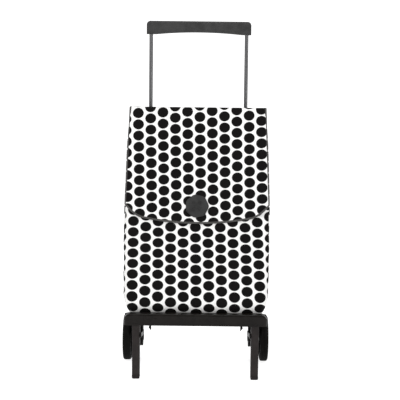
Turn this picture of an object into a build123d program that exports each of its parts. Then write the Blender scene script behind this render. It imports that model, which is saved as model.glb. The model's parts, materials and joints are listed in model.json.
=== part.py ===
from build123d import *

import math
import os

# Folding shopping trolley: a telescopic two-post frame on two wheels, a folding shelf with two
# standing legs, and a fabric bag with a flap. Millimetres, +Z up, +X across, the shelf towards -Y.
# The origin is on the floor under the middle of the overall box.

# ---- Driving dimensions ----
overall_height = 960.0
overall_depth = 287.0
clearance = 0.1
running_clearance = 0.05

wheel_radius = 65.0
tyre_width = 23.2
wheel_x = 193.9
post_x = 132.9
post_y = overall_depth / 2 - wheel_radius

# Telescopic posts.
inner_width = 9.8
inner_depth = 18.0
outer_width = 14.4
outer_depth = 22.6
tube_wall = 1.2
inner_corner = 4.0
outer_corner = 5.5
outer_bottom = 101.0
outer_top = 690.0
inner_bottom = 540.0
bush_length = 45.0
glide_length = 20.0
glide_foot = 6.0

# Rivets, from behind, at these heights on each post.
brace_rivet_heights = (204.0, 650.0)
socket_rivet_heights = (125.0, 172.0)
rivet_head_radius = 3.8
rivet_shank_radius = 2.0
rivet_head = 1.5
rivet_tip = -10.2

# Handle grip.
grip_half_width = 145.5
grip_depth = 30.0
grip_end_height = 36.5
grip_middle_height = 30.5
grip_socket = 22.0
grip_end_length = 26.0
grip_corner = 11.0
grip_rim = 8.0
grip_pin_radius = 2.0
grip_pin_z = overall_height - grip_end_height + 12

# Collars on top of the outer posts, with a press button each.
collar_half_width = 13.2
collar_front = 14.5
collar_back = 20.0
collar_bottom = 664.0
collar_top = 706.0
button_radius = 6.0
button_travel = 3.0
button_z = 697.0
button_seat_x = post_x + outer_width / 2 + 0.6
spring_wire = 0.35
spring_radius = 3.6
spring_turns = 3

# Braces between the posts, and the rod that the bag hangs on.
brace_back = 12.8
brace_beam = 9.0
brace_wall = 4.0
upper_brace_z = (638.0, 662.0)
lower_brace_z = (193.0, 215.0)
hanger_z = 702.0
hanger_ahead = 7.0
hanger_radius = 3.0
hanger_half_length = 112.0
hanger_clip_x = 100.0
hanger_clip_radius = 6.5
loop_x = 62.0
loop_half_width = 25.0

# Wheels and stub axles.
axle_radius = 5.0
rim_radius = 51.5
rim_band = 4.0
hub_radius = 13.0
hub_x = (wheel_x - 12.0, wheel_x + 5.8)
clip_x = (hub_x[1] + 1.1, hub_x[1] + 2.3)
bush_radius = 8.0
spoke_count = 5
spoke_half_width = 3.5
rim_window_radius = 10.5
rim_window_ring = 31.0
tyre_shoulder = 6.5
tread_grooves = (-4.0, 0.0, 4.0)
axle_head = (148.0, 149.8)
axle_head_radius = 9.0
axle_end = 203.0
hub_cap_radius = 15.0

# Wheel brackets and the rear rest.
bracket_back = 13.3
bracket_top = 190.0
column_x = (150.0, 178.0)
column_depth = 12.5
column_bottom_radius = 24.0
column_knee_z = 140.0
bag_clearance_z = 156.0
rest_half_width = 137.0
rest_front = bracket_back + 3.1
rest_ledge_ahead = 55.0
rest_screw_z = 118.0
slot_count = 7
slot_pitch = 36.0
slot_half_width = 12.0

# Folding shelf: the four pivots form a parallelogram.
pivot_ahead = 75.0
pivot_z = 163.0
rear_pivot_z = 140.0
arm_span = 133.0
link_drop = 45.0
pivot_pin_radius = 4.0
pivot_eye = 11.0
bar_half_width = 191.0
bar_low = 146.5
bar_high = 177.3
bar_back = 194.0
bar_front = 222.0
bar_wall = 2.5
leg_x = 158.2
leg_width = 20.5
leg_depth = 20.0
leg_inner_bevel = 4.2
leg_outer_bevel = 1.8
foot_height = 12.0
link_x = (144.4, 147.4)
plate_x = (170.0, 178.0)
arm_x = (179.0, 190.0)
pocket_x = (leg_x - leg_width / 2 - 1.2, leg_x + leg_width / 2 + 1.2)
tongue_x = (181.5, 187.5)
tongue_z = (154.0, 170.0)
tongue_front = 213.0
tray_half_width = 139.0
tray_back = 82.0
tray_z = (150.2, 155.0)
tray_rim = 3.0
tray_rim_top = 158.5
tray_screw_x = (36.0, 108.0)
tray_screw_ahead = 206.0
arm_screw_ahead = 204.0

# Bag: distance ahead of the posts and half width, each at a height.
bag_back = 15.5
cloth = 2.5
seam_gap = 0.15
front_line = [(160, 184), (178, 191), (190, 206), (208, 213), (262, 182), (332, 131), (405, 85),
              (480, 66), (600, 60), (716, 57)]
side_line = [(160, 172), (174, 177.5), (184, 185), (196, 189.5), (212, 192), (330, 197), (440, 199.5),
             (600, 194), (716, 187.5)]
bag_low = front_line[0][0]
bag_high = front_line[-1][0]
flap_gap = 1.0
flap_top_z = 722.4
flap_hinge_ahead = 16.0
flap_fold_ahead = 58.6
flap_fold_z = 719.5
flap_end_z = 404.0
flap_corner_z = 452.0
flap_corner = 14.0
flap_low_x = 199.0
flap_top_x = 187.5
button_centre_z = 449.0
closure_radius = 31.0
closure_thickness = 7.0
closure_lobes = 7
closure_lobe_radius = 9.5
closure_dimple_ring = 9.5
closure_dimple_radius = 3.6
magnet_radius = 10.0
magnet_thickness = 2.4

# Longer than anything it cuts or meets.
beyond = 300.0
bag_reach = 260.0


# ---- Small shapes ----
def ahead(distance):
    """Y of a point this beyond in front of the posts."""
    return post_y - distance


def block(x, y, z):
    """Box between a low and a high value on each axis."""
    spans = [sorted(pair) for pair in (x, y, z)]
    size = [high - low for low, high in spans]
    middle = [(low + high) / 2 for low, high in spans]
    return Pos(*middle) * Box(*size)


def front_block(x, distances, z):
    """Box whose second pair of values is measured ahead of the posts."""
    return block(x, [ahead(distance) for distance in distances], z)


def rod_x(radius, x, distance, z):
    """Round bar along X at a distance ahead of the posts."""
    return Pos(sum(x) / 2, ahead(distance), z) * Rot(0, 90, 0) * Cylinder(radius, abs(x[1] - x[0]))


def rod_y(radius, x, distances, z):
    """Round bar along Y between two distances ahead of the posts."""
    length = abs(distances[1] - distances[0])
    return Pos(x, ahead(sum(distances) / 2), z) * Rot(90, 0, 0) * Cylinder(radius, length)


def rod_z(radius, x, distance, z):
    """Round bar along Z between two heights."""
    return Pos(x, ahead(distance), sum(z) / 2) * Cylinder(radius, abs(z[1] - z[0]))


def post_prism(width, depth, corner, z):
    """Rounded rectangular prism along the right post."""
    base = Pos(post_x, post_y, z[0]) * RectangleRounded(width, depth, corner)
    return extrude(base, z[1] - z[0], dir=(0, 0, 1))


def post_tube(width, depth, corner, wall, z):
    """Hollow rounded rectangular tube along the right post."""
    bore = post_prism(width - 2 * wall, depth - 2 * wall, corner - wall, (z[0] - 1, z[1] + 1))
    return post_prism(width, depth, corner, z) - bore


def side_hull(circles, x):
    """Plate between two X values whose outline wraps circles of (distance ahead, height, radius)."""
    outline = Sketch() + [Pos(ahead(distance), z) * Circle(radius) for distance, z, radius in circles]
    face = Plane.YZ.offset(min(x)) * make_hull(outline.edges())
    return extrude(face, abs(x[1] - x[0]), dir=(1, 0, 0))


def mirrored(shape):
    """The same shape on the left side."""
    return mirror(shape, Plane.YZ)


def both_sides(shapes):
    """A group holding each shape and its mirror image as separate solids."""
    solids = []
    for shape in shapes:
        solids += shape.solids() + mirrored(shape).solids()
    return Compound(children=solids)


def soften(shape, radius, keep):
    """Round the edges that the test keeps."""
    return fillet(shape.edges().filter_by(keep), radius)


def write(name, shape):
    """Write one node."""
    export_step(shape, os.path.join("parts", name + ".step"))


def write_pair(name, shape):
    """Write a right-hand shape and its left-hand mirror image as two nodes."""
    write(name + "_right", shape)
    write(name + "_left", mirrored(shape))


# ---- Rivets and screws: a round head and a plain shank, with matching holes ----
def screw_z(x, distance, head_z, length, head_radius=3.4, shank_radius=1.6, head=2.0, grow=0.0):
    """Screw along Z whose head is below and whose shank runs upwards."""
    cap = rod_z(head_radius + grow, x, distance, (head_z - head, head_z))
    return cap + rod_z(shank_radius + grow, x, distance, (head_z - head / 2, head_z + length))


def post_rivets(heights, head_ahead, grow=0.0):
    """Rivets that hold a moulding to the right post from behind."""
    head_span = (head_ahead - rivet_head, head_ahead)
    heads = [rod_y(rivet_head_radius + grow, post_x, head_span, z) for z in heights]
    shanks = [rod_y(rivet_shank_radius + grow, post_x, (head_ahead - 1, rivet_tip), z) for z in heights]
    return [head + shank for head, shank in zip(heads, shanks)]


# ---- Posts and handle ----
def outer_post():
    """Fixed lower tube of a post, drilled for its rivets."""
    tube = post_tube(outer_width, outer_depth, outer_corner, tube_wall, (outer_bottom, outer_top))
    for hole in post_rivets(brace_rivet_heights, -brace_back, running_clearance):
        tube -= hole
    for hole in post_rivets(socket_rivet_heights, -bracket_back, running_clearance):
        tube -= hole
    return tube


def post_hole(z, gap=clearance):
    """Room for the outer tube in a moulding."""
    return post_prism(outer_width + 2 * gap, outer_depth + 2 * gap, outer_corner, z)


def guide_bush():
    """Plastic sleeve in the mouth of the outer tube that guides the inner tube."""
    outside_gap = (outer_width - inner_width) / 2 - tube_wall - clearance
    low = outer_top - bush_length
    outside = post_prism(inner_width + 2 * outside_gap, inner_depth + 2 * outside_gap, inner_corner,
                         (low, outer_top))
    inside = post_prism(inner_width + 2 * clearance, inner_depth + 2 * clearance, inner_corner,
                        (low - 1, outer_top + 1))
    return outside - inside


def inner_post():
    """Sliding upper tube of a post."""
    top = overall_height - grip_end_height + grip_socket
    tube = post_tube(inner_width, inner_depth, inner_corner, tube_wall, (inner_bottom, top))
    return tube - grip_pin(running_clearance)


def grip_pin(grow=0.0):
    """Cross pin that holds the inner tube in the grip."""
    reach = grip_depth / 2 - 1.5
    return rod_y(grip_pin_radius + grow, post_x, (-reach, reach), grip_pin_z)


def glide_plug():
    """Plastic glide in the lower end of the inner tube."""
    less = 2 * tube_wall + clearance
    stem = post_prism(inner_width - less, inner_depth - less, inner_corner - tube_wall - clearance,
                      (inner_bottom, inner_bottom + glide_length))
    foot = post_prism(inner_width + tube_wall, inner_depth + tube_wall, inner_corner,
                      (inner_bottom - glide_foot, inner_bottom))
    return stem + foot


def handle_grip():
    """Bow-shaped grip: flat top, shallow arch below, deeper ends over the posts."""
    low = overall_height - grip_end_height
    arch = overall_height - grip_middle_height
    end = grip_half_width - grip_end_length
    outline = Polyline((-end, low), (-grip_half_width, low), (-grip_half_width, overall_height),
                       (grip_half_width, overall_height), (grip_half_width, low), (end, low))
    outline += ThreePointArc((end, low), (0, arch), (-end, low))
    face = Plane.XZ.offset(-ahead(grip_depth / 2)) * make_face(outline)
    grip = extrude(face, grip_depth, dir=(0, 1, 0))
    corners = [edge for edge in grip.edges().filter_by(Axis.Y) if edge.center().Z > arch
               and abs(edge.center().X) > end]
    grip = fillet(corners, grip_corner)
    rims = [edge for edge in grip.edges() if abs(abs(edge.center().Y - post_y) - grip_depth / 2) < 0.1]
    grip = fillet(rims, grip_rim)
    socket = post_prism(inner_width + clearance, inner_depth + clearance, inner_corner,
                        (low - 1, low + grip_socket + clearance))
    for cut in (socket, grip_pin(running_clearance)):
        grip = grip - cut - mirrored(cut)
    return grip


def collar():
    """Moulded collar on the outer tube: post socket below, slide opening above, button well outside."""
    body = front_block((post_x - collar_half_width, post_x + collar_half_width),
                       (-collar_back, collar_front), (collar_bottom, collar_top))
    body = fillet(body.edges().filter_by(Axis.Z), 5)
    body = fillet(body.faces().sort_by(Axis.Z)[-1].edges(), 2)
    body -= post_hole((collar_bottom - 1, outer_top + clearance))
    body -= post_prism(inner_width + 0.6, inner_depth + 0.6, inner_corner, (outer_top - 1, collar_top + 1))
    return body - rod_x(button_radius + running_clearance, (button_seat_x, post_x + 40), 0, button_z)


def lock_button():
    """Round press button in the collar's well."""
    outer_end = post_x + collar_half_width + button_travel + 1
    cap = rod_x(button_radius, (button_seat_x + button_travel + 0.6, outer_end), 0, button_z)
    return fillet(cap.edges().group_by(Axis.X)[-1], 1.2)


def lock_spring():
    """Coil spring behind the press button."""
    length = button_travel + 0.6 - 2 * (spring_wire + clearance)
    path = Helix(pitch=length / spring_turns, height=length, radius=spring_radius)
    profile = Plane(origin=path @ 0, z_dir=path % 0) * Circle(spring_wire)
    coil = sweep(profile, path, is_frenet=True)
    return Pos(button_seat_x + spring_wire + clearance, post_y, button_z) * Rot(0, 90, 0) * coil


# ---- Braces between the posts ----
def brace(z):
    """Cross beam with a clamp round each post."""
    reach = outer_width / 2 + brace_wall
    beam = front_block((-post_x, post_x), (-brace_beam, brace_beam), z)
    beam = soften(beam, 3, Axis.X)
    clamp = front_block((post_x - reach, post_x + reach), (-brace_back, brace_back), z)
    clamp = soften(clamp, 3, Axis.Z)
    beam = beam + clamp + mirrored(clamp)
    hole = post_hole((z[0] - 1, z[1] + 1))
    beam = beam - hole - mirrored(hole)
    lighten = front_block((-post_x + 30, post_x - 30), (-20, -3), (z[0] + 5, z[1] - 5))
    return beam - lighten


def riveted(moulding, heights, head_ahead):
    """The moulding with room for its rivets."""
    for hole in post_rivets(heights, head_ahead, running_clearance):
        moulding = moulding - hole - mirrored(hole)
    return moulding


def upper_brace():
    """Brace near the top, with two clips that carry the bag's hanger rod."""
    moulding = brace(upper_brace_z)
    for x in (-hanger_clip_x, hanger_clip_x):
        clip = front_block((x - 6, x + 6), (1, brace_beam), (upper_brace_z[1] - 2, hanger_z))
        clip += rod_x(hanger_clip_radius, (x - 6, x + 6), hanger_ahead, hanger_z)
        moulding += clip - rod_x(hanger_radius + clearance, (x - 7, x + 7), hanger_ahead, hanger_z)
    return riveted(moulding, brace_rivet_heights[1:], -brace_back)


def lower_brace():
    """Brace just above the wheel brackets."""
    return riveted(brace(lower_brace_z), brace_rivet_heights[:1], -brace_back)


def hanger_rod():
    """Steel rod that carries the bag's loops."""
    return rod_x(hanger_radius, (-hanger_half_length, hanger_half_length), hanger_ahead, hanger_z)


def hanger_loops():
    """Cloth loops on the bag's back that the hanger rod runs through."""
    loops = []
    for x in (-loop_x, loop_x):
        loop = front_block((x - loop_half_width, x + loop_half_width),
                           (hanger_ahead - 4.6, bag_back - seam_gap), (hanger_z - 5, hanger_z + 5))
        hole = rod_x(hanger_radius + 0.2, (x - beyond, x + beyond), hanger_ahead, hanger_z)
        loops += (loop - hole).solids()
    return Compound(children=loops)


# ---- Wheel brackets, axles and the rear rest ----
def wheel_bracket():
    """Moulding that joins post, stub axle and shelf pivots on the right side."""
    socket = front_block((post_x - 14.5, column_x[0] + 1), (-bracket_back, bracket_back),
                         (outer_bottom + 1.5, bracket_top))
    socket = soften(socket, 3, Axis.Z)
    lower_pivot_z = rear_pivot_z - link_drop
    column = side_hull([(0, wheel_radius - 1, column_bottom_radius), (0, 150, column_depth)], column_x)
    column += front_block(column_x, (-column_depth, column_depth), (column_knee_z, bracket_top))
    web = side_hull([(pivot_ahead, rear_pivot_z, pivot_eye), (pivot_ahead, lower_pivot_z, pivot_eye),
                     (0, 96, 12), (0, bracket_top - 14, 12)], plate_x)
    boss = rod_x(10, (link_x[1] + 0.6, plate_x[0] + 1), pivot_ahead, lower_pivot_z)
    moulding = socket + column + web + boss
    moulding -= front_block((0, beyond), (bag_back - 1.5, 100), (bag_clearance_z, beyond))
    moulding -= side_hull([(pivot_ahead - 30, 122, 8), (28, 112, 7), (28, 138, 7)],
                          (plate_x[0] - 1, plate_x[1] + 2))
    moulding -= post_hole((0, bracket_top + 1))
    moulding -= rod_x(axle_radius + running_clearance, (100, beyond), 0, wheel_radius)
    pin_hole = pivot_pin_radius + running_clearance
    moulding -= rod_x(pin_hole, (plate_x[0] - 10, beyond), pivot_ahead, rear_pivot_z)
    moulding -= rod_x(pin_hole, (link_x[0] - 4.4, beyond), pivot_ahead, lower_pivot_z)
    for hole in post_rivets(socket_rivet_heights, -bracket_back, running_clearance):
        moulding -= hole
    for hole in rest_screws(running_clearance):
        moulding -= hole
    return moulding


def tube_plug():
    """End plug under the outer tube, with a small barbed tongue below it."""
    flange = post_prism(outer_width - 0.4, outer_depth - 0.4, outer_corner,
                        (outer_bottom - 1.6, outer_bottom))
    less = 2 * tube_wall + clearance
    stem = post_prism(outer_width - less, outer_depth - less, outer_corner - tube_wall - clearance,
                      (outer_bottom - 0.5, outer_bottom + 16))
    stem -= post_prism(6, 12, 2, (outer_bottom + 2, outer_bottom + 17))
    tongue_inner = post_x - 5.4
    tongue_outer = post_x + 2.0
    low = outer_bottom - 17
    outline = Polygon((tongue_inner, outer_bottom - 1), (tongue_inner + 4, outer_bottom - 1),
                      (tongue_outer, outer_bottom - 8), (tongue_inner, low), align=None)
    face = Plane.XZ.offset(-ahead(4)) * outline
    return flange + stem + extrude(face, 8, dir=(0, 1, 0))


def stub_axle():
    """Headed axle pin through the bracket, with a groove for its clip."""
    head = rod_x(axle_head_radius, axle_head, 0, wheel_radius)
    head = fillet(head.edges().group_by(Axis.X)[0], 0.8)
    pin = head + rod_x(axle_radius, (axle_head[1] - 1, axle_end), 0, wheel_radius)
    groove = rod_x(axle_radius + 2, clip_x, 0, wheel_radius)
    groove -= rod_x(axle_radius - 1, clip_x, 0, wheel_radius)
    return pin - groove


def ring_x(outer, inner, x, distance=0.0, z=wheel_radius):
    """Ring round an axis along X."""
    return rod_x(outer, x, distance, z) - rod_x(inner, (x[0] - 1, x[1] + 1), distance, z)


def axle_washers():
    """Washers each side of each hub."""
    pairs = [(plate_x[1] + 0.2, hub_x[0] - 0.2), (hub_x[1] + 0.1, clip_x[0] - 0.1)]
    return both_sides([ring_x(8.5, axle_radius + running_clearance, pair) for pair in pairs])


def axle_clips():
    """Open spring clip in each axle's groove."""
    span = (clip_x[0] + clearance, clip_x[1] - clearance)
    clip = ring_x(7.5, axle_radius - 1 + running_clearance, span)
    mouth = block((clip_x[0] - 1, clip_x[1] + 1), (post_y - 2.4, post_y + 2.4),
                  (wheel_radius, wheel_radius + 9))
    return both_sides([clip - mouth])


def rest_screws(grow=0.0):
    """Screws that hold the rear rest to the right bracket, their heads in front."""
    screws = []
    for x in (post_x - 11, post_x + 1):
        head = rod_y(3.6 + grow, x, (bracket_back + 3.1, bracket_back + 5.1), rest_screw_z)
        screws.append(head + rod_y(1.6 + grow, x, (bracket_back - 1.2, bracket_back + 4), rest_screw_z))
    return screws


def slots(distances, z):
    """Row of cutting blocks for the slots of a ledge or a tray, between two distances ahead."""
    middles = [(index - (slot_count - 1) / 2) * slot_pitch for index in range(slot_count)]
    return [front_block((x - slot_half_width, x + slot_half_width), distances, z) for x in middles]


def rear_rest():
    """Fixed ledge under the back of the bag: a flange on the brackets and a slotted ledge."""
    span = (-rest_half_width, rest_half_width)
    flange = front_block(span, (bracket_back + clearance, rest_front), (106, 158))
    flange -= front_block((-post_x + 22, post_x - 22), (0, 40), (100, 140))
    ledge = front_block(span, (bracket_back + clearance, rest_ledge_ahead), (152, 158))
    for slot in slots((24, 48), (150, 160)):
        ledge -= slot
    moulding = flange + ledge
    for hole in rest_screws(running_clearance):
        moulding = moulding - hole - mirrored(hole)
    return moulding


# ---- Wheels ----
def tyre():
    """Solid tyre with rounded shoulders and three shallow tread grooves."""
    band = ring_x(wheel_radius, rim_radius + 0.05, (wheel_x - tyre_width / 2, wheel_x + tyre_width / 2))
    shoulders = [edge for edge in band.edges() if edge.geom_type == GeomType.CIRCLE and edge.radius > 60]
    band = fillet(shoulders, tyre_shoulder)
    for offset in tread_grooves:
        middle = wheel_x + offset
        band -= ring_x(wheel_radius + 1, wheel_radius - 0.8, (middle - 0.5, middle + 0.5))
    return band


def rim():
    """Moulded rim: outer band, dished web with round windows between broad spokes, and hub."""
    width = tyre_width / 2 - 1.6
    web_half = 3.0
    wheel = ring_x(rim_radius, rim_radius - rim_band, (wheel_x - width, wheel_x + width))
    wheel += ring_x(rim_radius - rim_band + 0.5, hub_radius - 1, (wheel_x - web_half, wheel_x + web_half))
    wheel += rod_x(hub_radius, hub_x, 0, wheel_radius)
    for index in range(spoke_count):
        spoke = block((wheel_x - 6, wheel_x + 5), (post_y - spoke_half_width, post_y + spoke_half_width),
                      (wheel_radius + hub_radius - 2, wheel_radius + rim_radius - rim_band + 1))
        axis = Axis((0, post_y, wheel_radius), (1, 0, 0))
        wheel += spoke.rotate(axis, 360 / spoke_count * index)
        window = rod_x(rim_window_radius, (wheel_x - 20, wheel_x + 20), 0, wheel_radius + rim_window_ring)
        wheel -= window.rotate(axis, 360 / spoke_count * (index + 0.5))
    return wheel - rod_x(bush_radius + clearance, (wheel_x - 40, wheel_x + 40), 0, wheel_radius)


def wheel_bush():
    """Plain bearing pressed in the hub."""
    return ring_x(bush_radius, axle_radius + running_clearance, hub_x)


def hub_cap():
    """Domed cap that snaps over the axle's end."""
    cap = rod_x(hub_cap_radius, (hub_x[1] + 0.4, wheel_x + tyre_width / 2 - 0.3), 0, wheel_radius)
    cap = fillet(cap.edges().group_by(Axis.X)[-1], 1.6)
    return cap - rod_x(hub_radius - 1.0, (hub_x[1] - 1, axle_end + 0.6), 0, wheel_radius)


# ---- Folding shelf ----
def rounded_outline(x, y, radius, keep):
    """Rectangle between low and high values, its corners that pass the test rounded."""
    middle = [sum(pair) / 2 for pair in (x, y)]
    face = Pos(*middle) * Rectangle(x[1] - x[0], y[1] - y[0])
    return fillet([corner for corner in face.vertices() if keep(corner)], radius)


def bar_outside():
    """Outer form of the front bar: where a side profile, a front outline and a plan outline meet."""
    span = (-bar_half_width, bar_half_width)
    depth = (ahead(bar_front), ahead(bar_back))
    middle = sum(depth) / 2
    side = rounded_outline(depth, (bar_low, bar_high), 5, lambda v: v.Y > bar_low + 1 and v.X < middle)
    front = rounded_outline(span, (bar_low, bar_high), 18, lambda v: v.Y > bar_low + 1)
    plan = rounded_outline(span, depth, 11, lambda v: v.Y < middle)
    lip = front_block(span, (bar_front - 0.8, bar_front + 1), (bar_low + 4.6, bar_low + 5.6))
    solid = extrude(Plane.YZ.offset(-beyond) * side, 2 * beyond, dir=(1, 0, 0))
    solid &= extrude(Plane.XZ.offset(-beyond) * front, 2 * beyond, dir=(0, -1, 0))
    return solid & extrude(Pos(0, 0, 100) * plan, 120, dir=(0, 0, 1)) - lip


def shelf_bar():
    """Front bar: rounded top and ends, hollow from below, with pockets for the legs and arms."""
    bar = bar_outside()
    hollow_top = bar_high - bar_wall - 1
    tray_room = tray_z[1] + 0.3
    bar -= front_block((-141, 141), (bar_back + bar_wall, bar_front - bar_wall - 1),
                       (bar_low - 1, hollow_top))
    bar -= front_block((-tray_half_width - 1, tray_half_width + 1), (bar_back - 1, bar_front - 10),
                       (bar_low - 1, tray_room))
    for side in (-1, 1):
        for x in tray_screw_x:
            bar += front_block((side * x - 4, side * x + 4), (bar_back + 1, bar_front - 3),
                               (tray_room, hollow_top + 0.5))
    pocket = front_block(pocket_x, (bar_back - 1, bar_front - bar_wall - 0.6),
                         (bar_low - 1, hollow_top + 1.3))
    socket = front_block((tongue_x[0] - clearance, tongue_x[1] + clearance),
                         (bar_back - 1, tongue_front + clearance),
                         (tongue_z[0] - clearance, tongue_z[1] + clearance))
    pin = leg_pin(running_clearance)
    for cut in (pocket, socket, pin, *tray_screws(running_clearance), arm_screw(running_clearance)):
        bar = bar - cut - mirrored(cut)
    return bar


def leg_pin(grow=0.0):
    """Pin on which the leg turns in the bar."""
    span = (pocket_x[0] - 3, pocket_x[1] + 3.2)
    return rod_x(pivot_pin_radius + grow, span, pivot_ahead + arm_span, pivot_z)


def arm_screw(grow=0.0):
    """Screw from below that holds the arm's tongue in the bar."""
    return screw_z(sum(tongue_x) / 2, arm_screw_ahead, bar_low + 2.2, 14, grow=grow)


def tray_screws(grow=0.0):
    """Screws from below that hold the tray to the bar."""
    return [screw_z(x, tray_screw_ahead, 152.2, 12, grow=grow) for x in tray_screw_x]


def shelf_arm():
    """Side arm: an eye round the bracket's pin, a bar to the front and a tongue in the front bar."""
    arm = side_hull([(pivot_ahead, rear_pivot_z, pivot_eye), (bar_back - 12, pivot_z - 1, 9.5)], arm_x)
    arm -= front_block((170, 200), (bar_back - 0.4, beyond), (140, 190))
    arm += front_block(tongue_x, (bar_back - 20, tongue_front), tongue_z)
    arm -= side_hull([(pivot_ahead + 30, rear_pivot_z + 6, 5), (bar_back - 34, pivot_z - 5, 5)], (185, 195))
    arm -= rod_x(pivot_pin_radius + running_clearance, (170, 200), pivot_ahead, rear_pivot_z)
    return arm - arm_screw(running_clearance)


def shelf_tray():
    """Slotted tray behind the bar that carries the front of the bag."""
    span = (-tray_half_width, tray_half_width)
    rim_z = (tray_z[0], tray_rim_top)
    tray = front_block(span, (tray_back, bar_front - 11), tray_z)
    rim_strip = front_block(span, (tray_back, tray_back + tray_rim), rim_z)
    for side in (-1, 1):
        rim_strip += front_block((side * tray_half_width, side * (tray_half_width - tray_rim)),
                                 (tray_back, bar_back - 1), rim_z)
    tray += rim_strip
    for slot in slots((tray_back + 12, bar_back - 12), (tray_z[0] - 1, 160)):
        tray -= slot
    for hole in tray_screws(running_clearance):
        tray = tray - hole - mirrored(hole)
    return tray


def shelf_screws():
    """All screws of the shelf."""
    return both_sides([*tray_screws(), arm_screw()])


def leg():
    """Standing leg: rounded head in the bar, bevelled shaft down to its foot pad."""
    centre = pivot_ahead + arm_span
    half = leg_width / 2
    shaft = front_block((leg_x - half, leg_x + half), (centre - leg_depth / 2, centre + leg_depth / 2),
                        (foot_height, pivot_z))
    front_edges = [edge for edge in shaft.edges().filter_by(Axis.Z) if edge.center().Y < ahead(centre)]
    front_edges.sort(key=lambda edge: edge.center().X)
    shaft = chamfer(front_edges[:1], leg_inner_bevel)
    front_edges = [edge for edge in shaft.edges().filter_by(Axis.Z) if edge.center().X > leg_x + half - 0.1
                   and edge.center().Y < ahead(centre)]
    shaft = chamfer(front_edges, leg_outer_bevel)
    shaft += rod_x(leg_depth / 2, (leg_x - half, leg_x + half), centre, pivot_z)
    shaft -= front_block((leg_x - half + 3, leg_x + half - 3), (0, centre + 5), (40, 108))
    shaft -= front_block((leg_x - 5, leg_x + 5), (centre - 5, centre + 5), (foot_height - 1, foot_height + 9))
    shaft -= rod_x(pivot_pin_radius + running_clearance, (140, 180), centre, pivot_z)
    return shaft - link_pin(running_clearance)


def foot_pad():
    """Rubber foot with a rounded sole and a stub in the leg's end."""
    centre = pivot_ahead + arm_span
    half = leg_width / 2
    pad = front_block((leg_x - half, leg_x + half), (centre - leg_depth / 2, centre + leg_depth / 2),
                      (0, foot_height - clearance))
    pad = fillet(pad.edges().group_by(Axis.Z)[0], 5)
    return pad + front_block((leg_x - 4.9, leg_x + 4.9), (centre - 4.9, centre + 4.9), (5, foot_height + 8))


def link_pin(grow=0.0):
    """Pin on the leg that the stay link's front eye runs on."""
    span = (link_x[0] - 0.5, leg_x + 6)
    return rod_x(pivot_pin_radius + grow, span, pivot_ahead + arm_span, pivot_z - link_drop)


def stay_link():
    """Flat link with an eye at each end that keeps the leg upright."""
    rear_z = rear_pivot_z - link_drop
    front_z = pivot_z - link_drop
    front = pivot_ahead + arm_span
    bar = side_hull([(pivot_ahead, rear_z, 5), (front, front_z, 5)], link_x)
    bar += rod_x(8, link_x, pivot_ahead, rear_z) + rod_x(8, link_x, front, front_z)
    bar -= rod_x(pivot_pin_radius + running_clearance, (130, 160), pivot_ahead, rear_z)
    return bar - rod_x(pivot_pin_radius + 0.3, (130, 160), front, front_z)


def bracket_pins():
    """Pivot pins fixed in the brackets: one carries the shelf arm and one the stay link."""
    upper_x = (plate_x[0] - 0.5, arm_x[1] + 0.6)
    lower_x = (link_x[0] - 0.5, plate_x[1] + 0.5)
    upper = rod_x(pivot_pin_radius, upper_x, pivot_ahead, rear_pivot_z)
    lower = rod_x(pivot_pin_radius, lower_x, pivot_ahead, rear_pivot_z - link_drop)
    return both_sides([upper, lower])


# ---- Bag ----
def band(line, thickness):
    """Closed outline of a strip between a line of (height, distance) and the same line moved inwards."""
    outside = [(distance, height) for height, distance in line]
    inside = [(distance - thickness, height) for height, distance in reversed(line)]
    return outside + inside


def moved(line, amount):
    """The line with every distance changed by the same amount."""
    return [(height, distance + amount) for height, distance in line]


def across_prism(points, half_width):
    """Prism along X whose outline has (distance ahead, height) points."""
    outline = Polygon(*[(ahead(distance), height) for distance, height in points], align=None)
    return extrude(Plane.YZ.offset(-half_width) * outline, 2 * half_width, dir=(1, 0, 0))


def along_prism(points):
    """Prism along Y whose outline has (x, height) points."""
    outline = Polygon(*points, align=None)
    return extrude(Plane.XZ.offset(-beyond) * outline, 2 * beyond, dir=(0, -1, 0))


def width_prism(inset):
    """Everything between the side lines, moved in by the inset."""
    right = [(distance - inset, height) for height, distance in side_line]
    left = [(-x, height) for x, height in reversed(right)]
    return along_prism(right + left)


def side_prism(front_inset, back):
    """Everything between the bag's back and its front line, moved in by the inset."""
    front = [(distance - front_inset, height) for height, distance in front_line]
    return across_prism(front + [(back, bag_high), (back, bag_low)], bag_reach)


def bag_front():
    """Front cloth panel."""
    return across_prism(band(front_line, cloth), bag_reach) & width_prism(cloth + seam_gap)


def bag_back_panel():
    """Back cloth panel, flat against the posts."""
    slab = front_block((-bag_reach, bag_reach), (bag_back, bag_back + cloth), (bag_low, bag_high))
    return slab & width_prism(cloth + seam_gap)


def bag_side():
    """Right side cloth panel."""
    return along_prism(band(side_line, cloth)) & side_prism(0, bag_back)


def bag_base():
    """Cloth bottom of the bag."""
    slab = front_block((-bag_reach, bag_reach), (bag_back + cloth + seam_gap, beyond),
                       (bag_low, bag_low + cloth))
    return slab & width_prism(cloth + seam_gap) & side_prism(cloth + 2 * seam_gap, 0)


def flap_line():
    """Inner line of the hanging part of the flap."""
    return [(height, distance + flap_gap) for height, distance in front_line if height > flap_end_z]


def flap_top():
    """Part of the flap that lies over the bag's mouth."""
    return front_block((-flap_top_x, flap_top_x), (flap_hinge_ahead + 1, flap_fold_ahead - 0.6),
                       (flap_top_z - cloth, flap_top_z))


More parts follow.
